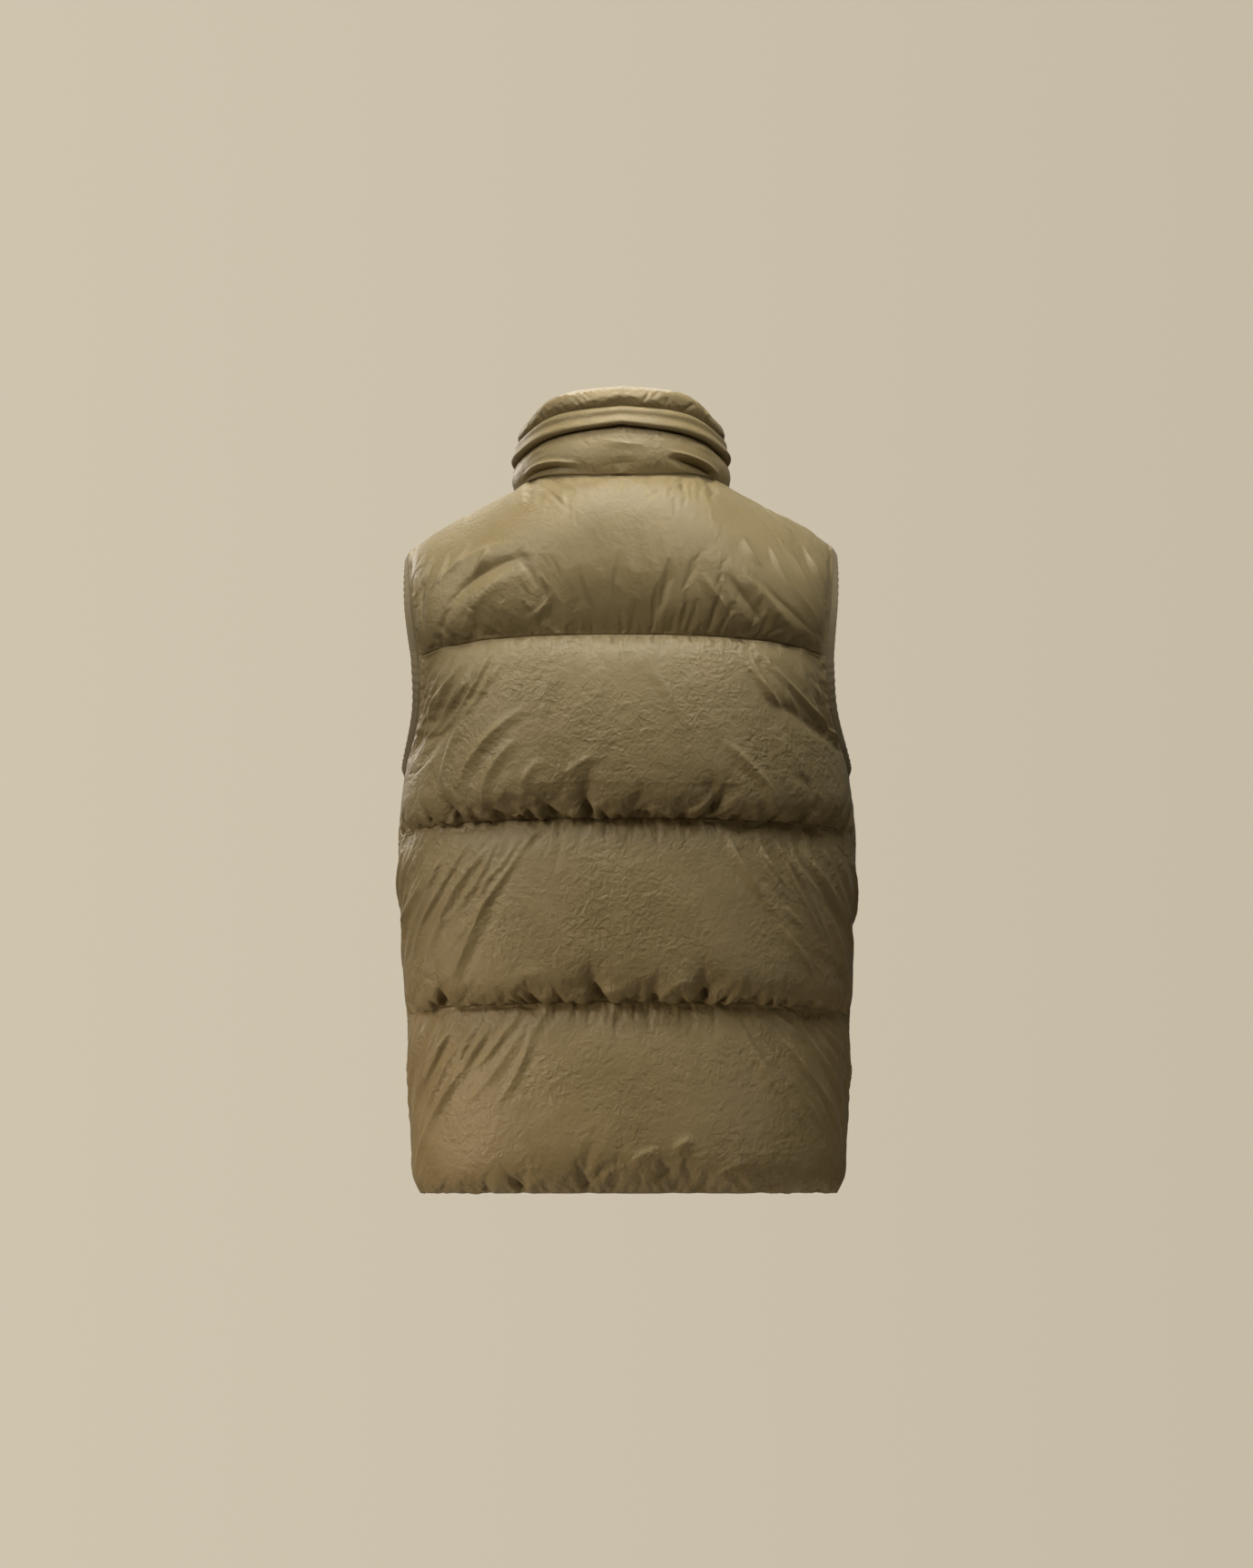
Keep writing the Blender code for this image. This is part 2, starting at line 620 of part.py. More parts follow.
def add_collar(finish):
    reach = np.pi - np.arcsin(FRONT_EDGE / NECK_HALF_WIDTH)
    angles = np.linspace(-reach, reach, COLLAR_COLUMNS + 1)
    base = neck_seam(angles) + SHELL + GAP
    low, high, top = collar_heights(angles)
    add_collar_part("collar_stand", STAND, base, low - GAP / 2, angles, finish)
    add_collar_part("collar_band", BAND, low + GAP / 2, high - GAP / 2, angles, finish)
    add_collar_part("collar_roll", ROLL, high + GAP / 2, top, angles, finish)


# ---------------------------------------------------------------- zip

def zip_path():
    """Middle of the tape's outer face and its outward direction, from the hem up to the collar's top."""
    points, outs = [], []
    for baffle in ("hem", "waist", "chest", "yoke"):
        for up in (0.0, 0.25, 0.5, 0.75):
            point, out = surface(baffle, -1, 0.0, up)
            points.append(point)
            outs.append(out)
    neck = float(neck_seam(np.array([np.pi]))[0])
    for z in np.linspace(neck, TAPE_TOP, 4):
        points.append(np.array([FRONT_EDGE, SIDE_Y - NECK_FRONT + TAPE_DEPTH_IN_COLLAR, z]))
        outs.append(np.array([0.0, -1.0, 0.0]))
    points, outs = np.array(points), np.array(outs)
    outs[:, 0] = 0
    points[0, 2] += 0.002
    return points - unit(outs) * TAPE_THICKNESS / 2, unit(outs)


def add_tape(name, sign, finish):
    middle, out = zip_path()
    rows = np.linspace(0, 1, len(middle))
    grids = []
    for side in (0.5, -0.5):
        face = middle + out * TAPE_THICKNESS * side
        grid = np.repeat(face[:, None], 2, 1)
        grid[:, :, 0] = np.array([TAPE_INNER, FRONT_EDGE - GAP]) * sign
        grids.append(lean(grid))
    at = (rows, (0, 1))
    return add_wall(name, grids[0], at, grids[1], at, finish)


def box(name, size, middle, finish, helper=False):
    """A block of the given size, as a solid or as a helper for a Boolean."""
    corners = [(x, y, z) for x in (-0.5, 0.5) for y in (-0.5, 0.5) for z in (-0.5, 0.5)]
    sides = [(0, 1, 3, 2), (4, 6, 7, 5), (0, 4, 5, 1), (2, 3, 7, 6), (0, 2, 6, 4), (1, 5, 7, 3)]
    thing = add_solid(name, np.array(corners) * np.array(size), sides, finish)
    thing.location = middle
    if helper:
        thing.hide_render = True
        thing.display_type = "WIRE"
    return thing


def combine(thing, other, operation):
    step = thing.modifiers.new(other.name, "BOOLEAN")
    step.operation = operation
    step.object = other


def slider_place():
    """Middle of the slider on the tape, and the axis that the pull turns on."""
    x = float(lean(np.array([0.0, 0.0, SLIDER_Z]))[0])
    y = SIDE_Y - NECK_FRONT + TAPE_DEPTH_IN_COLLAR
    plate = y - SLIDER_MOUTH / 2 - SLIDER_PLATE
    return np.array([x, y, SLIDER_Z]), np.array([x, plate - BAIL_HOLE[0] / 2, SLIDER_Z - PULL_DROP])


def add_slider(finish):
    middle, _ = slider_place()
    face = SLIDER_MOUTH / 2 + SLIDER_PLATE / 2
    plate = (SLIDER_WIDTH, SLIDER_PLATE, SLIDER_LENGTH)
    body = box("zip_slider", plate, middle + (0, -face, 0), finish)
    edge = body.modifiers.new("rounded", "BEVEL")
    edge.width, edge.segments = 0.0004, 2
    back = box("slider_back_plate", plate, middle + (0, face, 0), finish, helper=True)
    post_size = (2 * (TAPE_INNER - GAP), 2 * face, 0.0035)
    post = box("slider_post", post_size, middle + (0, 0, SLIDER_LENGTH / 2 - 0.0025), finish, helper=True)
    depth, height = BAIL_HOLE
    reach = depth + BAIL_BAR
    bail_y = -(face + SLIDER_PLATE / 2 + reach / 2)
    overlap = 0.0004
    bail_size = (BAIL_WIDTH, reach + overlap, height + 2 * BAIL_BAR)
    bail = box("slider_bail", bail_size, middle + (0, bail_y + overlap / 2, 0), finish, helper=True)
    eye_size = (2 * BAIL_WIDTH, depth, height)
    eye = box("slider_eye", eye_size, middle + (0, bail_y + BAIL_BAR / 2, 0), finish, helper=True)
    for other, operation in ((back, "UNION"), (post, "UNION"), (bail, "UNION"), (eye, "DIFFERENCE")):
        combine(body, other, operation)
    return body


def add_pull(finish):
    """The pull hangs from its bar, whose axis is the object's origin."""
    _, axis = slider_place()
    bar = PULL_THICKNESS
    half, eye_half = PULL_WIDTH / 2, PULL_EYE[0] / 2
    waist = half * 0.62
    turns = np.radians(np.linspace(0, -180, 9))
    end_z = -(PULL_LENGTH - bar / 2 - half)
    outline = [(-half, bar / 2), (half, bar / 2), (half, -PULL_EYE[1] - bar), (waist, -0.011)]
    outline += [(half * np.cos(t), end_z + half * np.sin(t)) for t in turns]
    outline += [(-waist, -0.011), (-half, -PULL_EYE[1] - bar)]
    count = len(outline)
    points = [(x, side * bar / 2, z) for side in (-1, 1) for x, z in outline]
    faces = [tuple(range(count)), tuple(range(count, 2 * count))]
    faces += [(i, (i + 1) % count, (i + 1) % count + count, i + count) for i in range(count)]
    pull = add_solid("zip_pull", points, faces, finish)
    pull.location = axis
    eye_size = (2 * eye_half, 4 * bar, PULL_EYE[1])
    eye = box("pull_eye", eye_size, axis + (0, 0, -bar / 2 - PULL_EYE[1] / 2), finish, helper=True)
    combine(pull, eye, "DIFFERENCE")
    return pull


# ---------------------------------------------------------------- the vest

def main():
    for old in list(bpy.data.objects):
        bpy.data.objects.remove(old, do_unlink=True)
    nylon = material("crinkled_nylon", (0.235, 0.193, 0.120), 0.55)
    elastic = material("binding_elastic", (0.170, 0.140, 0.095), 0.75)
    tape = material("zip_tape_polyester", (0.150, 0.122, 0.078), 0.80)
    metal = material("zip_lacquered_zinc", (0.090, 0.078, 0.060), 0.35, 0.9)
    for baffle in BAFFLES:
        add_baffle(f"back_{baffle}", baffle, 1, 1, True, nylon)
        add_baffle(f"front_left_{baffle}", baffle, -1, 1, False, nylon)
        add_baffle(f"front_right_{baffle}", baffle, -1, -1, False, nylon)
    for side, sign in (("left", 1), ("right", -1)):
        add_ring(f"armhole_binding_{side}", binding_loops(sign), elastic)
        add_tape(f"zip_tape_{side}", sign, tape)
    add_collar(nylon)
    add_slider(metal)
    add_pull(metal)


main()
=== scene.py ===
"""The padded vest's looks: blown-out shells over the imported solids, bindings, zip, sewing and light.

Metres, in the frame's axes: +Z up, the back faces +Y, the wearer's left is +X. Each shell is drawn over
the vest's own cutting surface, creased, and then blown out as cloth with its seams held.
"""

from collections import namedtuple

import bmesh
import bpy
import numpy as np
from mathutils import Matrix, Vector


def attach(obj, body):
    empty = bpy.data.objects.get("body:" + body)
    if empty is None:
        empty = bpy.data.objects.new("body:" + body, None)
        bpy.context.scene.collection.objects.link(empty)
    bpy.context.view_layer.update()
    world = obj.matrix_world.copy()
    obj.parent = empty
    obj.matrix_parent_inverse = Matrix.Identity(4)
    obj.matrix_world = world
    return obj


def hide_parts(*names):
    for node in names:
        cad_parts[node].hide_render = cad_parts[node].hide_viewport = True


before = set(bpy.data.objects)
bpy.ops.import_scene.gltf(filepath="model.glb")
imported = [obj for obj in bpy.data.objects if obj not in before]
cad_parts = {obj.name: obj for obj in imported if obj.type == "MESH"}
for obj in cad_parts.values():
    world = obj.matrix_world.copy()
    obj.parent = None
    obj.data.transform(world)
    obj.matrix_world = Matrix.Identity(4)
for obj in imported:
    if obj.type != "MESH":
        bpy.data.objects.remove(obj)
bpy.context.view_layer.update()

BODY = "vest"
MM = 0.001
SIDES = (("left", 1), ("right", -1))      # the wearer's, each with its sign along X

# ---------------------------------------------------------------- the cut of the vest

LINING = 0.003            # from the seam line in to the lining
SEAM_DEPTH = 0.0018       # how far a quilting seam pulls the shell under the seam line
EDGE_LIFT = 0.0010        # shell cloth over the seam line at an armhole, where the binding takes it
SIDE_Y = -0.012           # side seams, shoulder seams and armhole centres
SQUARENESS = 2.5          # of the body's level sections, 2 being an ellipse
COLUMN_EASE = 0.82        # below 1, columns stand closer together round the sides
SHOULDER_SQUARENESS = 2.2
FRONT_EDGE = 0.0105       # from the front's middle to each front's edge
ZIP_MARGIN = 0.014        # share of a front's width that is sewn down flat beside the zip

Section = namedtuple("Section", "z half_width back front")
SECTIONS = (              # depths are measured from the side seams
    Section(-0.690, 0.1995, 0.131, 0.104),
    Section(-0.672, 0.2075, 0.135, 0.108),
    Section(-0.640, 0.2092, 0.136, 0.109),
    Section(-0.580, 0.2112, 0.136, 0.110),
    Section(-0.512, 0.2143, 0.136, 0.112),
    Section(-0.427, 0.2173, 0.138, 0.114),
    Section(-0.375, 0.2205, 0.140, 0.115),
    Section(-0.337, 0.2213, 0.141, 0.115),
    Section(-0.283, 0.2140, 0.142, 0.114),
    Section(-0.225, 0.2098, 0.142, 0.111),
    Section(-0.163, 0.2140, 0.140, 0.105),
    Section(-0.130, 0.2140, 0.138, 0.102),
)

Seam = namedtuple("Seam", "back_middle side front_middle")
SEAMS = {
    "hem": Seam(-0.6710, -0.6865, -0.6790),
    "lower": Seam(-0.4912, -0.5175, -0.5040),
    "middle": Seam(-0.3200, -0.3450, -0.3300),
    "upper": Seam(-0.1490, -0.1670, -0.1560),
}
SEAM_BOW = 2.2            # how late a seam turns down towards the side

# Fullness is the loft over the lining at the middle, and belly its height in the baffle. Spare is the
# share by which the shell is cut larger than the form, air is the pressure that fills it, and sag is
# how far the filling would hang down over the seam under it.
Baffle = namedtuple("Baffle", "bottom top fullness side_fullness belly spare air sag")
BAFFLES = {
    "yoke": Baffle("upper", None, 0.0175, 0.006, 0.24, 0.030, 8.0, 0.003),
    "chest": Baffle("middle", "upper", 0.0215, 0.003, 0.17, 0.045, 9.0, 0.013),
    "waist": Baffle("lower", "middle", 0.0205, 0.003, 0.17, 0.045, 9.0, 0.013),
    "hem": Baffle("hem", "lower", 0.0180, 0.003, 0.24, 0.035, 8.0, 0.003),
}
CROWN_POWER = 0.72        # below 1, the loft stays full for longer above the belly
SIDE_POWER = 1.5          # how fast the loft falls from the middle's to the side's
EDGE_POWERS = {"armhole": 9, "zip": 14}   # the higher, the closer to that edge the loft stays full
EDGE_ROUND = 0.6
EDGE_FROM = 0.97          # share of a width from which the shell lifts to the armhole's edge
SHOULDER_LOFT = 0.0125    # loft of the yoke where it faces up
RIDGE_LOFT = 0.7          # share of the yoke's loft that is left at the top of the shoulders
RIDGE_PINCH = 0.010       # how far the shoulder seam and the neck seam draw the loft down
NECK_PINCH = 0.026
NECK_FADE = 0.04          # share of a yoke's height over which its loft ends at the top

NECK_HALF_WIDTH = 0.1035
NECK_BACK = 0.115         # from the shoulder seams back to the collar
NECK_FRONT = 0.070

Crest = namedtuple("Crest", "x back front")
CRESTS = (                # height to which each upright section of the shoulders would rise
    Crest(-0.030, 0.0607, -0.0281),
    Crest(0.000, 0.0954, -0.0276),
    Crest(0.030, 0.0607, -0.0281),
    Crest(0.052, 0.0353, -0.0290),
    Crest(0.073, 0.0216, -0.0272),
    Crest(0.090, 0.0088, -0.0205),
    Crest(0.1035, -0.0050, -0.0060),
    Crest(0.120, -0.0178, -0.0178),
    Crest(0.142, -0.0305, -0.0305),
    Crest(0.164, -0.0405, -0.0405),
    Crest(0.182, -0.0492, -0.0492),
    Crest(0.205, -0.0625, -0.0625),
)
CREST_REACH = 4           # the higher, the closer to the neck and shoulder seams the table's shape is kept
NECK_REACH = 6            # the same for the curve of the neck's edge, which the rows end on
NECK_SHARE = 0.55         # share of a yoke's width over which its rows lead to the neck's edge
SHOULDER_DROP = 0.011     # slope by which the left shoulder sits lower than the right one
DROP_HEIGHTS = (-0.16, -0.05)             # between which that slope grows to the whole

ARMHOLE_DROP = 0.116      # below the upper seam
ARMHOLE_BACK = 0.078      # from the shoulder seam's line to the back edge
ARMHOLE_FRONT = 0.052
ARMHOLE_TOP_X = 0.204

Lean = namedtuple("Lean", "z shift")
LEANS = (                 # the vest hangs a little to its left at the shoulders and to its right at the hem
    Lean(-0.69, -0.0022),
    Lean(-0.50, -0.0018),
    Lean(-0.38, -0.0008),
    Lean(-0.27, 0.0000),
    Lean(-0.20, 0.0025),
    Lean(-0.14, 0.0050),
    Lean(-0.08, 0.0052),
    Lean(0.10, 0.0050),
)

Collar = namedtuple("Collar", "angle seam_low seam_high top")
COLLAR = (                # heights round the collar, from the back's middle to the front's
    Collar(0, 0.0490, 0.0675, 0.0868),
    Collar(45, 0.0386, 0.0596, 0.0800),
    Collar(67, 0.0285, 0.0482, 0.0670),
    Collar(90, 0.0215, 0.0420, 0.0580),
    Collar(135, 0.0080, 0.0290, 0.0430),
    Collar(180, 0.0020, 0.0240, 0.0370),
)
Strip = namedtuple("Strip", "share outward")
STAND = {                 # share of the height, and how far out from the neck seam
    "outer": (Strip(0, -0.0010), Strip(0.12, 0.0012), Strip(0.35, 0.0026), Strip(0.7, 0.0012),
              Strip(0.9, -0.0016), Strip(1, -0.0046)),
    "inner": (Strip(0, -0.0070), Strip(0.5, -0.0110), Strip(1, -0.0110)),
}
BAND = {
    "outer": (Strip(0, 0.0004), Strip(0.06, 0.0021), Strip(0.5, -0.0006), Strip(0.94, -0.0040),
              Strip(1, -0.0064)),
    "inner": (Strip(0, -0.0110), Strip(0.5, -0.0130), Strip(1, -0.0130)),
}
ROLL = {
    "outer": (Strip(0, -0.0070), Strip(0.16, -0.0038), Strip(0.45, -0.0036), Strip(0.75, -0.0062),
              Strip(0.93, -0.0108), Strip(1, -0.0165)),
    "inner": (Strip(0, -0.0140), Strip(0.3, -0.0235), Strip(0.65, -0.0250), Strip(0.93, -0.0205),
              Strip(1, -0.0165)),
}

# ---------------------------------------------------------------- creases placed one by one

# Millimetres: around is the way along the cloth from the panel's middle, positive to the wearer's left
# on the back, and away from the zip on a front. Bow is how far the middle of a crease lies off its
# straight run, to the left of it. A positive height is a ridge and a negative one a trough. The side
# above a ridge is the steeper one, and the cloth sinks a little at its foot.
Crease = namedtuple("Crease", "around0 z0 around1 z1 bow width height")
BACK_CREASES = {
    "yoke": (
        Crease(80, -81, 173, -133, 12, 9, -5.0),
        Crease(97, -92, 152, -152, 8, 7, 1.5),
        Crease(95, -69, 195, -115, 10, 9, 2.2),
        Crease(-93, -94, -140, -148, -1, 6, -3.2),
        Crease(-105, -94, -156, -139, -3, 6, 2.4),
        Crease(-120, -97, -192, -149, 1, 6, -2.2),
        Crease(-135, -89, -200, -140, -2, 5, 1.6),
        Crease(-193, -80, -213, -117, -2, 4, 1.5),
        Crease(-197, -102, -211, -135, -2, 4, -2.0),
        Crease(-73, -94, -105, -137, 0, 5, 2.2),
        Crease(-60, -108, -52, -143, 1, 5, 1.0),
        Crease(220, -85, 208, -140, -2, 3, 2.0),
        Crease(202, -97, 194, -144, -1, 4, -2.4),
        Crease(161, -123, 172, -150, 3, 4, -2.5),
        Crease(60, -109, 88, -138, -2, 5, 1.8),
        Crease(83, -10, 46, -43, -1, 3, -1.3),
        Crease(59, -5, 37, -20, 0, 4, 1.3),
        Crease(-31, -25, -73, -4, 0, 4, 1.5),
        Crease(-6, -8, -3, -26, 1, 4, 1.0),
        Crease(-19, -29, -48, -16, 0, 4, -1.0),
        Crease(-107, -30, -154, -63, -4, 5, 1.0),
    ),
    "chest": (
        Crease(157, -165, 218, -251, 4, 4, 2.8),
        Crease(181, -176, 219, -231, 0, 3, 2.2),
        Crease(139, -164, 240, -268, -2, 5, 3.4),
        Crease(184, -171, 212, -202, 1, 4, -4.0),
        Crease(119, -162, 139, -196, 0, 3.5, 2.0),
        Crease(133, -205, 176, -312, 7, 5, 3.2),
        Crease(85, -218, 160, -316, 14, 6, 3.4),
        Crease(94, -246, 134, -320, 10, 6, 2.6),
        Crease(74, -265, 96, -302, 5, 6, 1.6),
        Crease(101, -164, 122, -205, 2, 4, 1.4),
        Crease(58, -286, 22, -262, -4, 7, 1.6),
        Crease(-116, -158, -251, -266, 8, 4, 3.6),
        Crease(-178, -176, -220, -225, 1, 3, 2.6),
        Crease(-152, -160, -203, -222, -3, 4, 1.8),
        Crease(-89, -250, -143, -317, -3, 6, 3.4),
        Crease(-43, -318, -93, -286, 0, 5, 2.6),
        Crease(-2, -317, -16, -297, 1, 4, 2.2),
        Crease(-155, -279, -174, -306, -2, 6, -2.0),
        Crease(-135, -235, -166, -292, -1, 7, 1.2),
        Crease(-62, -189, -87, -249, 4, 7, 1.0),
        Crease(62, -181, 74, -227, 2, 8, 0.9),
        Crease(26, -172, 23, -219, -4, 8, 1.0),
        Crease(-24, -185, -45, -227, -5, 6, 1.0),
    ),
    "waist": (
        Crease(107, -329, 199, -490, 15, 5, 3.4),
        Crease(109, -361, 174, -500, 1, 6, 3.4),
        Crease(146, -338, 216, -460, 2, 4.5, 3.2),
        Crease(178, -352, 249, -436, -5, 5, 3.0),
        Crease(210, -349, 239, -384, 0, 3.5, 2.2),
        Crease(80, -329, 94, -350, 1, 4, 2.0),
        Crease(160, -345, 178, -383, 1, 3, 1.6),
        Crease(122, -331, 143, -358, 0, 3.5, 1.8),
        Crease(190, -338, 238, -398, 1, 3.5, 1.8),
        Crease(-132, -340, -169, -393, -2, 4, 2.8),
        Crease(-156, -347, -256, -459, 0, 4.5, 3.6),
        Crease(-184, -350, -206, -376, -1, 3.5, 2.2),
        Crease(-197, -338, -236, -361, 1, 3, 2.2),
        Crease(-132, -416, -172, -471, -2, 5, 3.2),
        Crease(-141, -402, -161, -425, 0, 4, 2.0),
        Crease(-118, -345, -142, -396, -3, 5, 1.6),
        Crease(-186, -405, -224, -475, -2, 6, 1.8),
        Crease(31, -484, -7, -477, -8, 7, 2.0),
        Crease(-27, -482, -69, -473, -10, 7, 2.2),
        Crease(112, -481, 67, -462, -6, 7, 1.4),
    ),
    "hem": (
        Crease(115, -499, 234, -665, -2, 5, 3.2),
        Crease(133, -503, 212, -626, 5, 5, 3.2),
        Crease(162, -508, 231, -614, 1, 4, 2.6),
        Crease(192, -510, 226, -553, 3, 4, 2.2),
        Crease(98, -496, 111, -522, 0, 4, 2.2),
        Crease(75, -494, 87, -523, 0, 4, 2.0),
        Crease(149, -503, 190, -552, 1, 3.5, 1.8),
        Crease(-126, -497, -177, -537, 0, 4, 2.6),
        Crease(-168, -500, -242, -557, 2, 4, 2.6),
        Crease(-186, -504, -218, -528, 0, 3, 2.0),
        Crease(-147, -499, -184, -524, -1, 4, 1.6),
        Crease(-136, -665, -158, -644, -1, 8, -2.6),
        Crease(0, -641, -30, -627, -4, 7, 2.0),
        Crease(-38, -631, -59, -616, -2, 8, 2.6),
        Crease(-17, -662, -43, -642, -1, 6, -3.4),
        Crease(34, -663, 16, -635, -2, 6, -2.4),
        Crease(24, -661, -1, -641, -5, 6, 1.6),
        Crease(-187, -559, -234, -657, -8, 9, -1.4),
        Crease(113, -659, 82, -639, -2, 6, 1.2),
        Crease(-74, -656, -110, -637, -4, 7, 1.4),
    ),
}
FRONT_CREASES = {
    "yoke": (
        Crease(54, -70, 120, -150, -10, 7.0, 2.8),
        Crease(66, -70, 132, -146, -10, 8.0, -3.0),
        Crease(104, -48, 172, -132, -10, 6.0, 2.6),
        Crease(120, -50, 182, -126, -8, 7.0, -2.8),
        Crease(152, -58, 196, -110, -6, 5.0, 2.0),
        Crease(22, -112, 48, -152, -3, 6.0, -2.2),
        Crease(12, -92, 26, -128, -2, 5.0, 1.6),
    ),
    "chest": (
        Crease(70, -166, 186, -300, -26, 6.0, 3.4),
        Crease(84, -166, 196, -296, -25, 8.0, -3.0),
        Crease(118, -166, 210, -250, -16, 5.0, 2.8),
        Crease(130, -168, 214, -242, -14, 6.0, -2.6),
        Crease(34, -226, 96, -316, -12, 6.0, 3.0),
        Crease(46, -226, 108, -316, -12, 8.0, -2.8),
        Crease(164, -170, 208, -216, -6, 4.0, 2.2),
        Crease(12, -186, 44, -222, -4, 6.0, 1.8),
        Crease(210, -266, 250, -318, -5, 7.0, -2.6),
    ),
    "waist": (
        Crease(74, -342, 196, -486, -28, 6.0, 3.4),
        Crease(86, -342, 206, -482, -27, 8.0, -3.0),
        Crease(36, -346, 108, -430, -14, 5.0, 2.4),
        Crease(130, -342, 228, -436, -20, 5.0, 2.8),
        Crease(142, -344, 236, -430, -18, 6.0, -2.6),
        Crease(96, -430, 138, -496, -8, 6.0, -2.6),
        Crease(14, -392, 60, -440, -6, 7.0, -1.8),
        Crease(190, -350, 246, -400, -8, 4.0, 2.2),
    ),
    "hem": (
        Crease(80, -514, 210, -664, -26, 6.0, 3.2),
        Crease(92, -514, 220, -660, -25, 8.0, -2.6),
        Crease(136, -514, 234, -606, -18, 5.0, 2.4),
        Crease(148, -516, 240, -600, -16, 6.0, -2.2),
        Crease(30, -520, 80, -590, -8, 6.0, 1.8),
        Crease(18, -600, 60, -662, -6, 8.0, -2.2),
        Crease(116, -626, 150, -676, -5, 7.0, -2.2),
    ),
}
STAND_CREASES = (
    Crease(38, 7, 128, -4, 8, 3.6, -5.6),
    Crease(40, 13, 116, 5, 7, 3.6, 3.2),
    Crease(-42, 25, -116, 5, -2, 4.0, 5.0),
    Crease(-44, 18, -124, -5, -3, 5.0, -8.0),
    Crease(20, 36, -30, 30, 2, 4.0, 0.8),
    Crease(-20, 14, 24, 10, 0, 5.0, -0.9),
    Crease(-70, 34, -120, 22, 0, 3.0, 1.4),
    Crease(72, 33, 118, 20, 0, 3.0, 1.2),
    Crease(160, 6, 236, -16, 0, 4.0, -1.8),
    Crease(-170, 8, -240, -18, 0, 4.0, -1.8),
)
ROLL_CREASES = (
    Crease(-19, 69, -29, 80, 0, 2.0, -1.8),
    Crease(34, 68, 40, 79, 0, 2.5, -1.2),
    Crease(-66, 62, -80, 72, 0, 3.0, -2.0),
    Crease(-92, 56, -104, 68, 0, 3.0, 1.4),
    Crease(88, 56, 96, 68, 0, 3.0, -1.2),
)
RIDGE_POWER = 1.35        # below 2 gives a crease a sharper back than a round wave
CREASE_END_POWER = 1.1    # how a crease fades towards its ends
CREASE_TIGHTNESS = 0.64   # makes all creases narrower than their stated widths
CREASE_RISE = 1.15        # and higher than their stated heights
STEEP_SIDE = 0.7          # width of a crease on its upper side, and on its lower side
EASY_SIDE = 1.4
FOOT_SHARE = 0.22         # how far the cloth sinks at a ridge's foot, against its height
FOOT_AWAY = 2.6           # where, and how widely, in widths of the crease
FOOT_WIDTH = 1.2
FRONT_OTHER_SIDE = 0.84   # how the right front's creases differ from the left one's: share, shift, height
FRONT_OTHER_SHIFT = 9
FRONT_OTHER_HEIGHT = 1.1

# ---------------------------------------------------------------- gathers drawn in by the stitching

# Millimetres: mean distance between gathers, how deep they cut, how far they reach into the cloth, and
# how far they slant with the pull of the sides.
Gathers = namedtuple("Gathers", "pitch depth reach width slant")

# Ranges over which single gathers vary, as shares of their set's values, and the scatter of their tilt.
Spread = namedtuple("Spread", "strength length width step tilt")
GATHER_SPREAD = Spread((0.3, 1.2), (0.5, 1.5), (0.7, 1.5), (0.55, 1.6), 0.28)
GATHER_FADE = 1.6         # how suddenly a gather ends in the cloth
GATHER_LEAST = 0.6        # share of its reach that the weakest gather keeps
GATHER_MARGIN = 20        # millimetres past the sides over which gathers are drawn too
CLUSTER_WAVES = (21, 34)  # gathers come in clusters, which two waves of these lengths give
CLUSTER_MEAN = 0.65
CLUSTER_SWING = 0.45
FULL_SLANT = 150          # distance from the middle from which gathers slant fully

# Where, in millimetres from the middle, finer creases leave the seam above, how many there are on a side,
# how far down they run as a share of the baffle's height, and how far out for each millimetre down.
Pulls = namedtuple("Pulls", "start count drop lean")
PULLS = {
    "yoke": Pulls((120, 200), 4, (0.25, 0.5), (0.3, 0.7)),
    "chest": Pulls((105, 210), 10, (0.25, 0.65), (0.4, 0.9)),
    "waist": Pulls((85, 252), 15, (0.3, 0.85), (0.4, 0.8)),
    "hem": Pulls((85, 252), 14, (0.25, 0.8), (0.4, 0.8)),
}
# How the finer creases vary: where they start sideways and below the seam, their bow, width and height.
Fan = namedtuple("Fan", "scatter below bow width height")
FAN = Fan((-6, 6), (2, 14), (2, 7), (2.8, 5.0), (1.3, 3.4))
FAN_MARGIN = 4            # they end this far from the side's edge
YOKE_PULL_HEIGHT = 90     # what they take for a yoke's height
RIGHT_PULL = 0.95         # height of the right side's finer creases, against the left side's
GATHERS = {
    "below": {            # under the belly, just over a seam: a few deep ones, and small ones between
        "upper": (Gathers(9.0, 1.5, 15.0, 2.4, 0.45), Gathers(24.0, 1.5, 20.0, 4.5, 0.60)),
        "middle": (Gathers(12.0, 7.0, 9.0, 2.6, 0.35), Gathers(30.0, 12.0, 20.0, 4.4, 0.60)),
        "lower": (Gathers(12.0, 6.5, 9.0, 2.6, 0.35), Gathers(33.0, 12.0, 18.0, 4.4, 0.60)),
        "hem": (Gathers(13.0, 3.2, 9.0, 3.0, 0.30), Gathers(38.0, 7.0, 18.0, 5.0, 0.60)),
    },
    "above": {            # at the top of a baffle, just under a seam
        "upper": (Gathers(11.0, 1.0, 16.0, 2.6, 0.35),),
        "middle": (Gathers(9.5, 1.9, 22.0, 2.4, 0.50),),
        "lower": (Gathers(9.5, 1.9, 22.0, 2.4, 0.50),),
    },
    "roll": (Gathers(9.0, 1.4, 9.0, 1.8, 0.0),),
    "stand": (Gathers(26.0, 0.7, 8.0, 3.0, 0.0),),
}
LOBE_HANG = 1.3           # the filling sags this share between gathers, and less in one of this depth in mm
LOBE_DEPTH = 5.0
HEM_SCALLOP = 0.16        # share of a gather's depth by which it lifts the hem
SCALLOP_REACH = 12        # millimetres above the hem over which that fades
CREASE_FOOTING = 1.8      # creases are full where the loft is 1 over this of its own fullness, or more
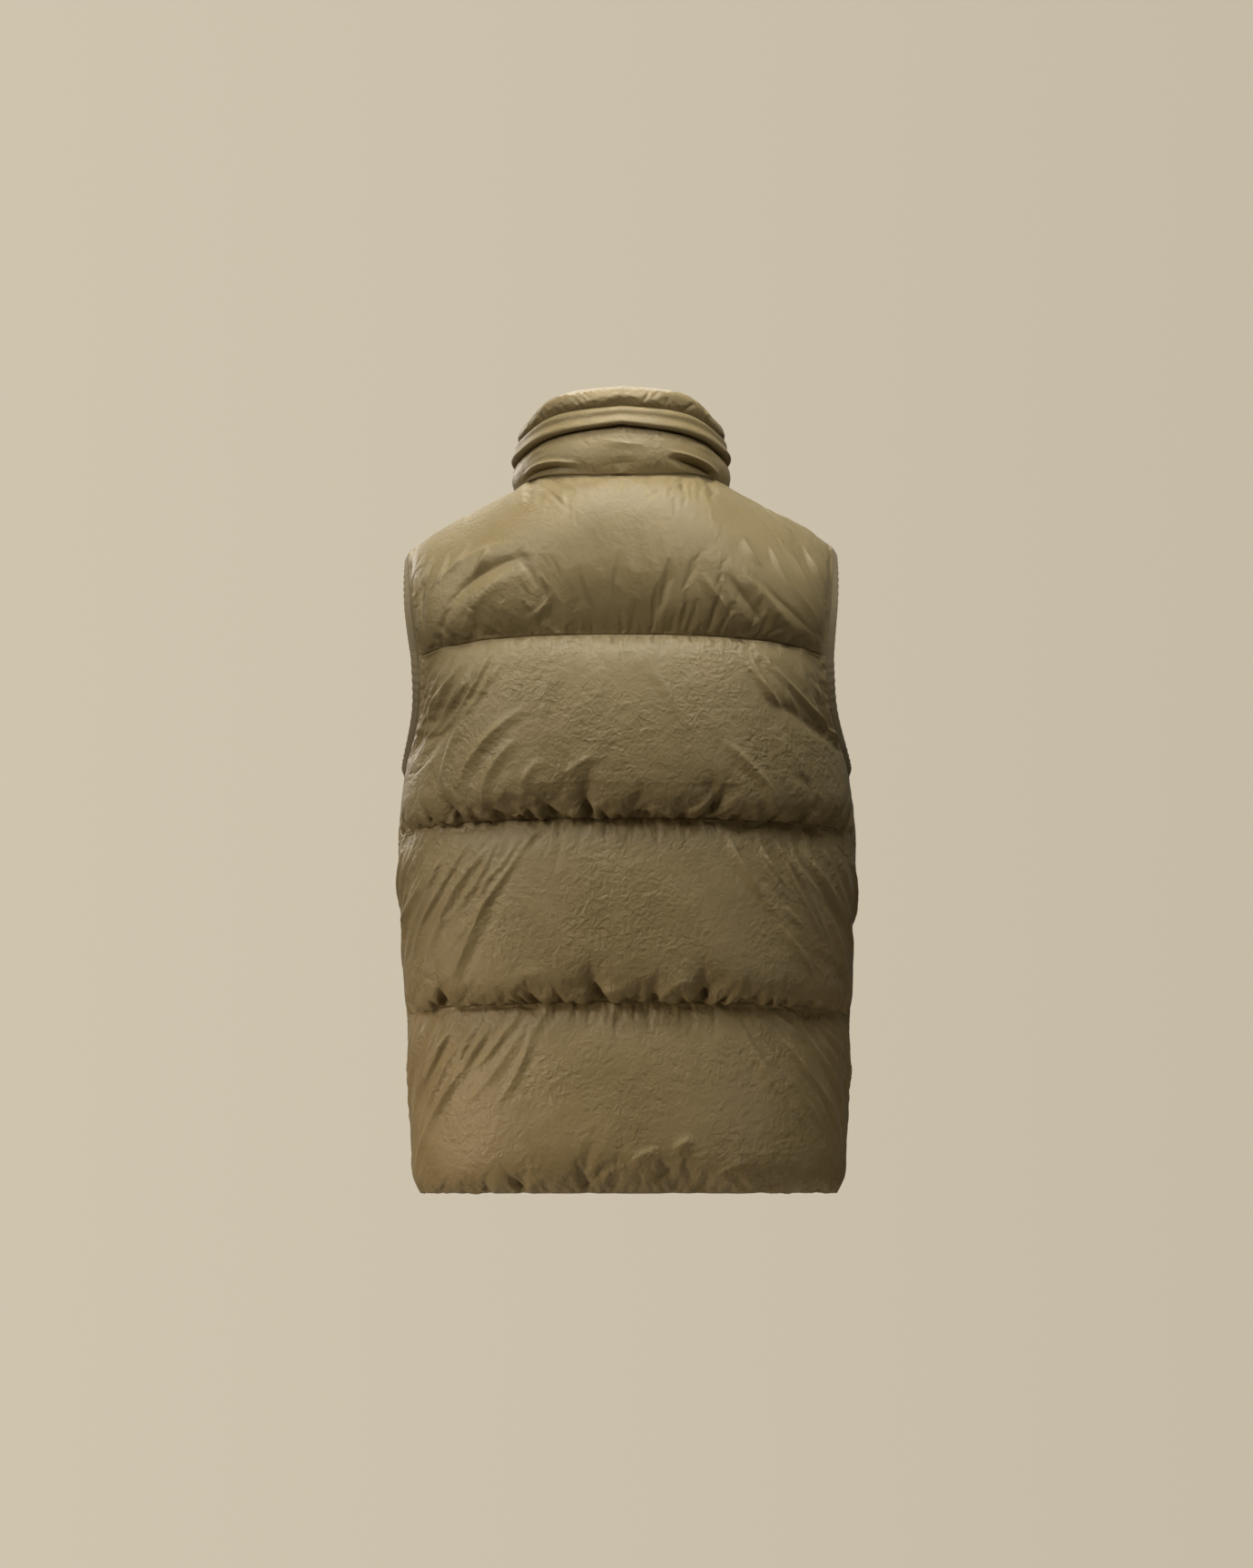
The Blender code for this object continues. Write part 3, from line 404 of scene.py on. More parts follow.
SEEDS = {1: 10, -1: 100}  # of the random draws on the back and on the fronts, with a step for each baffle
SEED_STEP = 10
RIGHT_SEED = 5            # and one for the right front

# ---------------------------------------------------------------- fineness of the shells

BACK_PITCH = 0.0028
FRONT_PITCH = 0.0036
COLLAR_PITCH = 0.0024
CLOTH_FRAMES = 22
CLOTH_STEPS = 5           # of the solver in each frame
CLOTH_MASS = 0.2
CLOTH_STIFFNESS = 15.0
CLOTH_SHEAR = 6.0
CLOTH_BENDING = 0.25
LINING_ROWS = 7
LINING_STEP = 4           # every so many of the shell's columns
BLOWN_CAP = 0.008         # furthest that the air may move a point, and on the collar
COLLAR_BLOWN_CAP = 0.003
BLOWN_SIDEWAYS = 0.4      # share of that movement kept across the body


# ---------------------------------------------------------------- curves

def through(at, places, values):
    """A smooth curve through a table's values, read at the given places."""
    places, values = np.asarray(places, float), np.asarray(values, float)
    slope = np.gradient(values, places)
    i = np.clip(np.searchsorted(places, at) - 1, 0, len(places) - 2)
    step = places[i + 1] - places[i]
    t = np.clip((at - places[i]) / step, 0, 1)
    rise = t * t * (3 - 2 * t)
    turn = t * (1 - t) ** 2 * slope[i] - t * t * (1 - t) * slope[i + 1]
    return values[i] + rise * (values[i + 1] - values[i]) + step * turn


def ease(low, high, at):
    """0 below low, 1 above high and smooth between them."""
    t = np.clip((at - low) / (high - low), 0, 1)
    return t * t * (3 - 2 * t)


def columns_of(table):
    """A table's columns, by their names."""
    return {name: np.array([getattr(row, name) for row in table], float) for name in table[0]._fields}


def unit(vectors):
    return vectors / np.maximum(np.linalg.norm(vectors, axis=-1, keepdims=True), 1e-12)


def lengths_along(points):
    """Distance run along a line of points, from its first."""
    steps = np.linalg.norm(np.diff(points, axis=0), axis=-1)
    return np.concatenate([[0], np.cumsum(steps)])


def read_along(at, run, vectors):
    """Vectors given along a line, read at other lengths of its run."""
    return np.stack([np.interp(at, run, vectors[:, k]) for k in range(3)], -1)


def evenly(points, places, count):
    """Places at equal steps of length along a line of points whose own places are given."""
    run = lengths_along(points)
    return np.interp(np.linspace(0, run[-1], count + 1), run, places)


SECTION = columns_of(SECTIONS)
CREST = columns_of(CRESTS)
RING = columns_of(COLLAR)
HANG = columns_of(LEANS)


# ---------------------------------------------------------------- the cutting surface

SLOPE_STEP = 0.002        # metres of height over which a section's slope is read
TURN_STEP = 0.001         # radians, and shares of the width, over which the shoulder's slope is read
FINE_PLACES = 160         # places at which an edge is read


def seam_height(name, facing, across):
    seam = SEAMS[name]
    middle = seam.back_middle if facing > 0 else seam.front_middle
    return middle + (seam.side - middle) * across ** SEAM_BOW


def level_point(z, facing, across):
    """Point and outward direction on the body below the upper seam, on the wearer's left."""
    name = "back" if facing > 0 else "front"
    half_width = through(z, SECTION["z"], SECTION["half_width"])
    depth = through(z, SECTION["z"], SECTION[name])
    reach = ARMHOLE_BACK if facing > 0 else ARMHOLE_FRONT
    fall = np.clip((SEAMS["upper"].side - z) / ARMHOLE_DROP, 0, 1)
    side = np.arcsin(np.clip(reach * np.sqrt(1 - fall ** 2) / depth, 0, 1) ** (SQUARENESS / 2))
    edge = FRONT_EDGE if facing < 0 else 0.0
    middle = np.arccos((edge / half_width) ** (SQUARENESS / 2))
    angle = middle + (side - middle) * across * (COLUMN_EASE + (1 - COLUMN_EASE) * across)
    power, steep = 2 / SQUARENESS, SQUARENESS - 1
    along, away = np.cos(angle) ** power, np.sin(angle) ** power
    wider = (through(z + SLOPE_STEP, SECTION["z"], SECTION["half_width"]) - half_width) / SLOPE_STEP
    deeper = (through(z + SLOPE_STEP, SECTION["z"], SECTION[name]) - depth) / SLOPE_STEP
    out = np.stack([
        along ** steep / half_width,
        facing * away ** steep / depth,
        -(along ** SQUARENESS * wider / half_width + away ** SQUARENESS * deeper / depth),
    ], -1)
    return np.stack([half_width * along, SIDE_Y + facing * depth * away, z], -1), unit(out)


def shoulder_frame(facing, across):
    """What fixes a panel's upright section at a share of its width: foot, crest and end of the cloth."""
    foot_z = seam_height("upper", facing, across)
    foot, _ = level_point(foot_z, facing, across)
    edge_x = level_point(foot_z, facing, np.ones_like(across))[0][..., 0]
    top_x = foot[..., 0] * ARMHOLE_TOP_X / edge_x
    crest_z = through(top_x, CREST["x"], CREST["back" if facing > 0 else "front"])
    depth = np.abs(foot[..., 1] - SIDE_Y)
    ring = np.sqrt(np.clip(1 - (top_x / NECK_HALF_WIDTH) ** 2, 0, 1))
    neck = (NECK_BACK if facing > 0 else NECK_FRONT) * ring
    end = np.arccos(np.clip(neck / depth, 0, 1) ** (SHOULDER_SQUARENESS / 2))
    return foot, top_x, crest_z, depth, end


def shoulder_point(facing, across, turn):
    """Point on the uncut shoulder: turn is 0 at the upper seam and a quarter turn at the crest."""
    foot, top_x, crest_z, depth, _ = shoulder_frame(facing, across)
    power = 2 / SHOULDER_SQUARENESS
    rise, away = np.sin(turn) ** power, np.cos(turn) ** power
    x = foot[..., 0] + (top_x - foot[..., 0]) * rise
    crests = CREST["back" if facing > 0 else "front"]
    easy = crests[-1] + (crests[1] - crests[-1]) * (1 + np.cos(np.pi * top_x / ARMHOLE_TOP_X)) / 2
    z = foot[..., 2] + (easy - foot[..., 2]) * rise + (crest_z - easy) * rise ** CREST_REACH
    return np.stack([x, SIDE_Y + facing * depth * away, z], -1)


def shoulder_turn(facing, across, up):
    """The turn at a share of a yoke's height: rows run smoothly below and meet the neck's edge above."""
    end = shoulder_frame(facing, across)[-1]
    middle = shoulder_frame(facing, np.zeros_like(across))[-1]
    smooth = middle + (np.pi / 2 - middle) * ease(0.0, NECK_SHARE, across)
    return smooth * up + (end - smooth) * up ** NECK_REACH


def neck_edge(facing):
    """Points along a yoke's neck edge, from its middle to the shoulder seam."""
    fine = np.linspace(0, 1, FINE_PLACES)
    _, top_x, _, _, end = shoulder_frame(facing, fine)
    inside = top_x <= NECK_HALF_WIDTH
    return shoulder_point(facing, fine[inside], end[inside])


def yoke_point(facing, across, up):
    """Point and outward direction on the body above the upper seam."""
    turn = shoulder_turn(facing, across, up)
    step = TURN_STEP
    sideways = np.clip(across, step, 1 - step)
    over = np.clip(turn, step, np.pi / 2 - step)
    d_across = shoulder_point(facing, sideways + step, over) - shoulder_point(facing, sideways - step, over)
    d_turn = shoulder_point(facing, sideways, over + step) - shoulder_point(facing, sideways, over - step)
    out = np.cross(d_across, d_turn) * -facing
    return shoulder_point(facing, across, turn), unit(out)


def surface(baffle, facing, across, up):
    """Seam-level point and outward direction on a baffle of the left half."""
    across, up = np.broadcast_arrays(np.asarray(across, float), np.asarray(up, float))
    if BAFFLES[baffle].top is None:
        return yoke_point(facing, across, up)
    low = seam_height(BAFFLES[baffle].bottom, facing, across)
    high = seam_height(BAFFLES[baffle].top, facing, across)
    return level_point(low + (high - low) * up, facing, across)


def lean(points):
    """Shift points as the vest hangs: one shoulder a little lower, the body a little sideways."""
    moved = np.array(points, float)
    moved[..., 2] -= SHOULDER_DROP * moved[..., 0] * ease(*DROP_HEIGHTS, moved[..., 2])
    moved[..., 0] += through(moved[..., 2], HANG["z"], HANG["shift"])
    return moved


NECK_EDGES = {facing: neck_edge(facing) for facing in (1, -1)}


# ---------------------------------------------------------------- loft, creases and gathers

def loft(baffle, facing, across, up, point):
    """Share of the full loft at a place in a baffle: round underneath, and long and easy above."""
    belly = BAFFLES[baffle].belly
    if BAFFLES[baffle].top is not None:
        under = np.sqrt(1 - (1 - np.clip(up / belly, 0, 1)) ** 2)
        over = np.clip((1 - up) / (1 - belly), 0, 1)
        return np.where(up < belly, under, np.sin(np.pi / 2 * over) ** CROWN_POWER)
    rise = shoulder_turn(facing, across, up) / (np.pi / 2)
    under = np.sqrt(1 - (1 - np.clip(rise / belly, 0, 1)) ** 2)
    over = 1 - (1 - RIDGE_LOFT) * ease(belly, 1, rise)
    to_neck = np.linalg.norm(point[..., None, :] - NECK_EDGES[facing], axis=-1).min(-1)
    to_seam = np.abs(point[..., 1] - SIDE_Y)
    drawn = (1 - np.exp(-to_neck / NECK_PINCH)) * (1 - np.exp(-to_seam / RIDGE_PINCH))
    return under * over * drawn * ease(0, NECK_FADE, 1 - up)


def creased(around, z, creases):
    """Height of the listed creases at places given in millimetres."""
    height = np.zeros(around.shape)
    for crease in creases:
        start = np.array([crease.around0, crease.z0], float)
        run = np.array([crease.around1, crease.z1]) - start
        length = np.hypot(*run)
        side = np.array([-run[1], run[0]]) / length
        share = ((around - start[0]) * run[0] + (z - start[1]) * run[1]) / length ** 2
        off = (around - start[0]) * side[0] + (z - start[1]) * side[1]
        off = (off - crease.bow * 4 * share * (1 - share)) * np.sign(side[1] or 1)
        off = off / (crease.width * CREASE_TIGHTNESS)
        ridge = np.exp(-np.abs(off / np.where(off > 0, STEEP_SIDE, EASY_SIDE)) ** RIDGE_POWER)
        foot = FOOT_SHARE * np.exp(-((off + FOOT_AWAY) / FOOT_WIDTH) ** 2)
        fade = np.sin(np.pi * np.clip(share, 0, 1)) ** CREASE_END_POWER
        height += CREASE_RISE * crease.height * fade * (ridge - foot)
    return height


def fan_of(pulls, low, high, half, sign, seed):
    """Finer creases that sweep from the seam above out to the side, where the cloth is drawn tight."""
    rng = np.random.default_rng(seed)
    creases = []
    share = 1 if sign > 0 else RIGHT_PULL
    for start in np.linspace(*pulls.start, pulls.count) + rng.uniform(*FAN.scatter, pulls.count):
        drop = (high - low) * rng.uniform(*pulls.drop)
        end = min(start + drop * rng.uniform(*pulls.lean), half)
        top = high - rng.uniform(*FAN.below)
        bow, width, height = (rng.uniform(*limits) for limits in (FAN.bow, FAN.width, FAN.height))
        creases.append(Crease(sign * start, top, sign * end, top - drop, -sign * bow, width, height * share))
    return creases


def gathered(around, away, sets, seed):
    """Depth cut by gathers at a distance, in millimetres, from the seam that draws them in."""
    rng = np.random.default_rng(seed)
    vary = GATHER_SPREAD
    reach = np.abs(around).max() + GATHER_MARGIN
    depth = np.zeros(around.shape)
    for gathers in sets:
        place = -reach + rng.uniform(0, gathers.pitch)
        while place < reach:
            waves = [np.sin(place / wave + times * seed) for times, wave in enumerate(CLUSTER_WAVES, 1)]
            cluster = CLUSTER_MEAN + CLUSTER_SWING * waves[0] * waves[1]
            strength = cluster * rng.uniform(*vary.strength)
            long = gathers.reach * rng.uniform(*vary.length)
            long *= GATHER_LEAST + (1 - GATHER_LEAST) * strength
            pull = np.sign(place) * min(abs(place) / FULL_SLANT, 1)
            slant = gathers.slant * pull + rng.normal(0, vary.tilt)
            off = np.abs(around - place - slant * away) / (gathers.width * rng.uniform(*vary.width))
            depth += gathers.depth * strength * np.exp(-off ** RIDGE_POWER - (away / long) ** GATHER_FADE)
            place += gathers.pitch * rng.uniform(*vary.step)
    return depth


# ---------------------------------------------------------------- meshes

def add_mesh(name, points, faces, finish, uv=None):
    """A shaded piece of the vest; uv gives each point its place on the cloth in metres."""
    mesh = bpy.data.meshes.new(name)
    whole = [tuple(int(i) for i in face) for face in faces]
    mesh.from_pydata(np.asarray(points, float).tolist(), [], whole)
    if uv is not None:
        layer = mesh.uv_layers.new(name="cloth")
        corners = np.empty(len(mesh.loops), int)
        mesh.loops.foreach_get("vertex_index", corners)
        layer.data.foreach_set("uv", np.asarray(uv, float)[corners].ravel())
    shape = bmesh.new()
    shape.from_mesh(mesh)
    bmesh.ops.recalc_face_normals(shape, faces=shape.faces)
    shape.to_mesh(mesh)
    shape.free()
    mesh.shade_smooth()
    mesh.materials.append(finish)
    thing = bpy.data.objects.new(name, mesh)
    bpy.context.scene.collection.objects.link(thing)
    return thing


def grid_faces(rows, columns, first=0):
    number = np.arange(rows * columns).reshape(rows, columns) + first
    return np.stack([number[:-1, :-1], number[:-1, 1:], number[1:, 1:], number[1:, :-1]], -1).reshape(-1, 4)


def joined_edge(first, second):
    """Faces between two edges of points that run side by side over the same way."""
    faces, i, j = [], 0, 0
    first_end, second_end = len(first) - 1, len(second) - 1
    while i < first_end or j < second_end:
        next_first = (i + 1) / first_end if i < first_end else np.inf
        next_second = (j + 1) / second_end if j < second_end else np.inf
        if abs(next_first - next_second) < 1e-9:
            faces.append((first[i], second[j], second[j + 1], first[i + 1]))
            i, j = i + 1, j + 1
        elif next_first < next_second:
            faces.append((first[i], second[j], first[i + 1]))
            i += 1
        else:
            faces.append((first[i], second[j], second[j + 1]))
            j += 1
    return faces


def sleeve(name, rings, run, across, closed, finish):
    """A strip of cloth from rings of points round its section, joined end to end or capped at its ends."""
    rings = lean(rings)
    count, size = rings.shape[:2]
    number = np.arange(count * size).reshape(count, size)
    if closed:
        number = np.concatenate([number, number[:1]])
    beside = np.roll(number, -1, 1)
    faces = np.stack([number[:-1], beside[:-1], beside[1:], number[1:]], -1).reshape(-1, 4).tolist()
    if not closed:
        faces += [number[0], number[-1][::-1]]
    uv = np.stack(np.broadcast_arrays(across[None], run[:, None]), -1).reshape(-1, 2)
    return add_mesh(name, rings.reshape(-1, 3), faces, finish, uv)


def doubled(grid):
    """The grid with rows and columns between its own, each from the two nearest on either side."""
    for axis in (0, 1):
        g = np.moveaxis(grid, axis, 0)
        padded = np.concatenate([2 * g[:1] - g[1:2], g, 2 * g[-1:] - g[-2:-1]])
        middle = (9 * (padded[1:-2] + padded[2:-1]) - padded[:-3] - padded[3:]) / 16
        fine = np.empty((2 * len(g) - 1, *g.shape[1:]))
        fine[::2], fine[1::2] = g, middle
        grid = np.moveaxis(fine, 0, axis)
    return grid


def wall(name, outer, inner, finish):
    """A closed piece between a fine outer grid and a coarser inner one."""
    points, faces, uv, numbers = [], [], [], []
    for grid in (outer, inner):
        rows, columns = grid.shape[:2]
        first = sum(len(p) for p in points)
        numbers.append(np.arange(rows * columns).reshape(rows, columns) + first)
        points.append(grid.reshape(-1, 3))
        faces.extend(grid_faces(rows, columns, first))
        middle = grid[rows // 2]
        u, v = np.meshgrid(lengths_along(middle), lengths_along(grid[:, columns // 2]))
        uv.append(np.stack([u, v], -1).reshape(-1, 2))
    for edge in (0, -1):
        faces.extend(joined_edge(numbers[0][edge], numbers[1][edge]))
        faces.extend(joined_edge(numbers[0][:, edge], numbers[1][:, edge]))
    return add_mesh(name, np.concatenate(points), faces, finish, np.concatenate(uv))


# ---------------------------------------------------------------- shells blown out as cloth

# Coarse is the grid that is blown out, fine the same form with a point between each two, and relief the
# height of the creases over the fine one.
Shell = namedtuple("Shell", "name coarse fine inner relief spare air cap finish")


def outward_normals(grid):
    """Unit normals of a grid, turned away from the vest's upright axis."""
    normal = unit(np.cross(np.gradient(grid, axis=1), np.gradient(grid, axis=0)))
    away = (grid - np.array([0, SIDE_Y, 0])) * np.array([1, 1, 0])
    return normal * np.sign((normal * away).sum())


def cloth_of(shell):
    """A cloth whose edges are held, cut larger than the form by its spare share."""
    rows, columns = shell.coarse.shape[:2]
    mesh = bpy.data.meshes.new(shell.name + "_cloth")
    mesh.from_pydata(shell.coarse.reshape(-1, 3).tolist(), [], grid_faces(rows, columns).tolist())
    mesh.update()
    normals = np.empty(3 * len(mesh.polygons))
    mesh.polygons.foreach_get("normal", normals)
    if (normals.reshape(-1, 3) * outward_normals(shell.coarse)[:-1, :-1].reshape(-1, 3)).sum() < 0:
        mesh.flip_normals()
    cloth = bpy.data.objects.new(mesh.name, mesh)
    bpy.context.scene.collection.objects.link(cloth)
    held = cloth.vertex_groups.new(name="held")
    number = np.arange(rows * columns).reshape(rows, columns)
    edge = np.unique(np.concatenate([number[0], number[-1], number[:, 0], number[:, -1]]))
    held.add(edge.tolist(), 1.0, "REPLACE")
    step = cloth.modifiers.new("air", "CLOTH")
    step.point_cache.frame_end = CLOTH_FRAMES + 1
    step.collision_settings.use_collision = False
    settings = step.settings
    settings.vertex_group_mass = "held"
    settings.quality = CLOTH_STEPS
    settings.mass = CLOTH_MASS
    settings.tension_stiffness = settings.compression_stiffness = CLOTH_STIFFNESS
    settings.shear_stiffness = CLOTH_SHEAR
    settings.bending_stiffness = CLOTH_BENDING
    settings.shrink_min = -shell.spare
    settings.use_pressure = True
    settings.uniform_pressure_force = shell.air
    settings.effector_weights.gravity = 0
    return cloth


def blown_out(shells):
    """How far each point of each shell moves when all are blown out side by side."""
    cloths = [cloth_of(shell) for shell in shells]
    for number in range(1, CLOTH_FRAMES + 1):
        bpy.context.scene.frame_set(number)
    seen = bpy.context.evaluated_depsgraph_get()
    ways = []
    for shell, cloth in zip(shells, cloths):
        points = np.empty(shell.coarse.size)
        cloth.evaluated_get(seen).data.vertices.foreach_get("co", points)
        moved = points.reshape(shell.coarse.shape) - shell.coarse
        moved[..., 0] *= BLOWN_SIDEWAYS
        far = np.linalg.norm(moved, axis=-1, keepdims=True)
        ways.append(moved * shell.cap * np.tanh(far / shell.cap) / np.maximum(far, 1e-9))
        mesh = cloth.data
        bpy.data.objects.remove(cloth, do_unlink=True)
        bpy.data.meshes.remove(mesh)
    bpy.context.scene.frame_set(1)
    return ways


def finished_grid(shell, moved):
    """The fine form, blown out and then creased."""
    return shell.fine + doubled(moved) + outward_normals(shell.fine) * shell.relief[..., None]


def lining_of(inner):
    """The plain inside: a few rows and columns of a full grid, ends kept."""
    rows = np.unique(np.round(np.linspace(0, inner.shape[0] - 1, LINING_ROWS)).astype(int))
    columns = np.unique(np.append(np.arange(0, inner.shape[1], LINING_STEP), inner.shape[1] - 1))
    return inner[np.ix_(rows, columns)]


# ---------------------------------------------------------------- the quilted panels

PLACES = 400              # places at which a panel's lines are measured
PROFILE_AT = 0.3          # share of a panel's width at which its height is measured along the cloth


def panel_places(baffle, facing, pitch):
    """Shares across and up a baffle at even steps along its cloth."""
    fine = np.linspace(0, 1, PLACES)
    middle, _ = surface(baffle, facing, fine, 0.5)
    point, out = surface(baffle, facing, PROFILE_AT, fine)
    full = BAFFLES[baffle].fullness * loft(baffle, facing, np.full_like(fine, PROFILE_AT), fine, point)
    profile = point + out * full[:, None]
    return [evenly(line, fine, int(round(lengths_along(line)[-1] / pitch))) for line in (middle, profile)]


def half_panel(baffle, facing, sign, across, up, creases, seed):
    """Outer and inner points of a baffle on one side of the body, and the relief of its creases."""
    point, out = surface(baffle, facing, across[None], up[:, None])
    across, up = np.broadcast_arrays(across[None], up[:, None])
    size = BAFFLES[baffle]
    full = size.side_fullness + (size.fullness - size.side_fullness) * np.abs(out[..., 1]) ** SIDE_POWER
    if size.top is None:
        full = full + (SHOULDER_LOFT - full) * np.clip(out[..., 2], 0, 1)
    edges = np.clip(1 - across ** EDGE_POWERS["armhole"], 0, 1) ** EDGE_ROUND
    if facing < 0:
        inset = np.clip((across - ZIP_MARGIN) / (1 - ZIP_MARGIN), 0, 1)
        edges = edges * np.clip(1 - (1 - inset) ** EDGE_POWERS["zip"], 0, 1) ** EDGE_ROUND
    share = loft(baffle, facing, across, up, point) * edges
    base = -SEAM_DEPTH + (EDGE_LIFT + SEAM_DEPTH) * ease(EDGE_FROM, 1.0, across)

    step = np.linalg.norm(np.diff(point, axis=1), axis=-1)
    around = np.concatenate([np.zeros((len(up), 1)), np.cumsum(step, 1)], 1) / MM
    if facing > 0:
        around = around * sign
    z = point[..., 2] / MM
    below = (point[..., 2] - point[:1, :, 2]) / MM
    pulled = gathered(around, below, GATHERS["below"][size.bottom], seed)
    low, high = z[0].mean(), z[-1].mean()
    if size.top is None:
        high = low + YOKE_PULL_HEIGHT
    side = sign if facing > 0 else 1
    fan = fan_of(PULLS[baffle], low, high, np.abs(around).max() - FAN_MARGIN, side, seed + 2 + sign)
    relief = creased(around, z, [*creases, *fan]) - pulled
    if size.top is not None:
        above = (point[-1:, :, 2] - point[..., 2]) / MM
        relief -= gathered(around, above, GATHERS["above"][size.top], seed + 1)

    point = point.copy()
    hung = full / size.fullness * share * np.sqrt(np.clip(1 - up / size.belly, 0, 1))
    point[..., 2] -= size.sag * hung * np.clip(LOBE_HANG - pulled / LOBE_DEPTH, 0, LOBE_HANG)
    if size.bottom == "hem":
        point[..., 2] += HEM_SCALLOP * MM * pulled * np.exp(-below / SCALLOP_REACH)
    mirror = np.array([sign, 1, 1])
    outer = lean((point + out * (base + full * share)[..., None]) * mirror)
    inner = lean((point - out * LINING) * mirror)
    return outer, inner, relief * MM * np.clip(share * CREASE_FOOTING, 0, 1)


def halved_steps(places):
    """The places with one more between each two."""
    return np.interp(np.arange(2 * len(places) - 1) / 2, np.arange(len(places)), places)


def whole_panel(baffle, facing, signs, pitch, creases, seed):
    """Coarse and fine grids of a baffle over one or both sides of the body, inner grid and relief."""
    across, up = panel_places(baffle, facing, pitch)
    made = []
    for places in ((across, up), (halved_steps(across), halved_steps(up))):
        halves = [half_panel(baffle, facing, sign, *places, creases, seed) for sign in signs]
        if len(signs) > 1:
            halves = [[np.concatenate([r[:, :0:-1], l], 1) for r, l in zip(*halves)]]
        made.append(halves[0])
    (coarse, inner, _), (fine, _, relief) = made
    return coarse, fine, inner, relief


def panel_shell(panel, baffle, facing, signs, pitch, creases, finish):
    size, number = BAFFLES[baffle], list(BAFFLES).index(baffle)
    seed = SEEDS[facing] + SEED_STEP * number + (RIGHT_SEED if signs == (-1,) else 0)
    grids = whole_panel(baffle, facing, signs, pitch, creases, seed)
    return Shell(f"{panel}_{baffle}_shell", *grids, size.spare, size.air, BLOWN_CAP, finish)


def back_shells(finish):
    return [panel_shell("back", baffle, 1, (-1, 1), BACK_PITCH, BACK_CREASES[baffle], finish)
            for baffle in BAFFLES]


def front_shells(side, sign, finish):
    shells = []
    for baffle, creases in FRONT_CREASES.items():
        if sign < 0:
            creases = [c._replace(around0=c.around0 * FRONT_OTHER_SIDE + FRONT_OTHER_SHIFT,
                                  around1=c.around1 * FRONT_OTHER_SIDE + 2 * FRONT_OTHER_SHIFT,
                                  height=c.height * FRONT_OTHER_HEIGHT) for c in creases]
        shells.append(panel_shell(f"front_{side}", baffle, -1, (sign,), FRONT_PITCH, creases, finish))
    return shells


# ---------------------------------------------------------------- collar

CollarPiece = namedtuple("CollarPiece", "strips creases gathers spare air")
COLLAR_PIECES = {         # from the neck seam up
    "collar_stand": CollarPiece(STAND, STAND_CREASES, GATHERS["stand"], 0.006, 1.0),
    "collar_band": CollarPiece(BAND, (), (), 0.0, 0.0),
    "collar_roll": CollarPiece(ROLL, ROLL_CREASES, GATHERS["roll"], 0.02, 3.0),
}
COLLAR_ROUNDNESS = 1.3    # rows for the length round a strip's section, against those for its height
COLLAR_LEAST_STEPS = 6
COLLAR_LINING_ROWS = 9
COLLAR_FOOTING = 0.4      # below 1, creases stay high to close by a strip's edges
NECK_MEAN_RADIUS = 0.095
FRONT_CALM = 0.35         # share of the strips' roundness that is left beside the zip
FRONT_CALM_REACH = 0.35   # radians from the front's middle over which it grows to the whole


def neck_seam(angles):
    """Height of the neck seam round the collar, read from the yokes' own edges."""
    back, front = NECK_EDGES[1], NECK_EDGES[-1][::-1]
    x = np.concatenate([back[:, 0], front[:, 0]])
    swing = np.degrees(np.arcsin(np.clip(x / NECK_HALF_WIDTH, 0, 1)))
    swing[len(back):] = 180 - swing[len(back):]
    return np.interp(np.abs(np.degrees(angles)), swing, np.concatenate([back[:, 2], front[:, 2]]))


def collar_ring(angles, outward, z):
    """Points round the neck: angles run from the back's middle to the left for positive values."""
    depth = np.where(np.cos(angles) > 0, NECK_BACK, NECK_FRONT)
    x = (NECK_HALF_WIDTH + outward) * np.sin(angles)
    y = SIDE_Y + (depth + outward) * np.cos(angles)
    x = np.where((y < SIDE_Y) & (np.abs(x) < FRONT_EDGE), np.sign(x) * FRONT_EDGE, x)
    return np.stack(np.broadcast_arrays(x, y, z), -1)


def collar_strip(table, low, high, angles, rows):
    """Grid of one side of a strip of the collar, with the share of its height at each row."""
    share = np.linspace(0, 1, rows)[:, None]
    calm = ease(0.0, FRONT_CALM_REACH, np.pi - np.abs(angles))
    outward = through(share, table["share"], table["outward"]) - table["outward"][0]
    outward = table["outward"][0] + outward * (FRONT_CALM + (1 - FRONT_CALM) * calm)
    z = low + (high - low) * share
    return lean(collar_ring(angles * np.ones_like(share), outward, z)), share, z


def collar_shell(name, piece, low, high, angles, finish):
    """One strip of the collar, with its creases, and gathers over its lower seam."""
    outside, inside = columns_of(piece.strips["outer"]), columns_of(piece.strips["inner"])
    steps = int(round((high - low).max() / COLLAR_PITCH * COLLAR_ROUNDNESS))
    rows = max(steps, COLLAR_LEAST_STEPS) + 1
    coarse, _, _ = collar_strip(outside, low, high, angles, rows)
    inner, _, _ = collar_strip(inside, low, high, angles, COLLAR_LINING_ROWS)
    between = [halved_steps(v) for v in (low, high, angles)]
    fine, share, z = collar_strip(outside, *between, 2 * rows - 1)
    around = np.broadcast_to(between[2] * NECK_HALF_WIDTH / MM, z.shape)
    relief = creased(around, z / MM, piece.creases)
    relief -= gathered(around, (z - between[0]) / MM, piece.gathers, len(name))
    relief = relief * MM * np.sin(np.pi * share) ** COLLAR_FOOTING
    return Shell(name, coarse, fine, inner, relief, piece.spare, piece.air, COLLAR_BLOWN_CAP, finish)


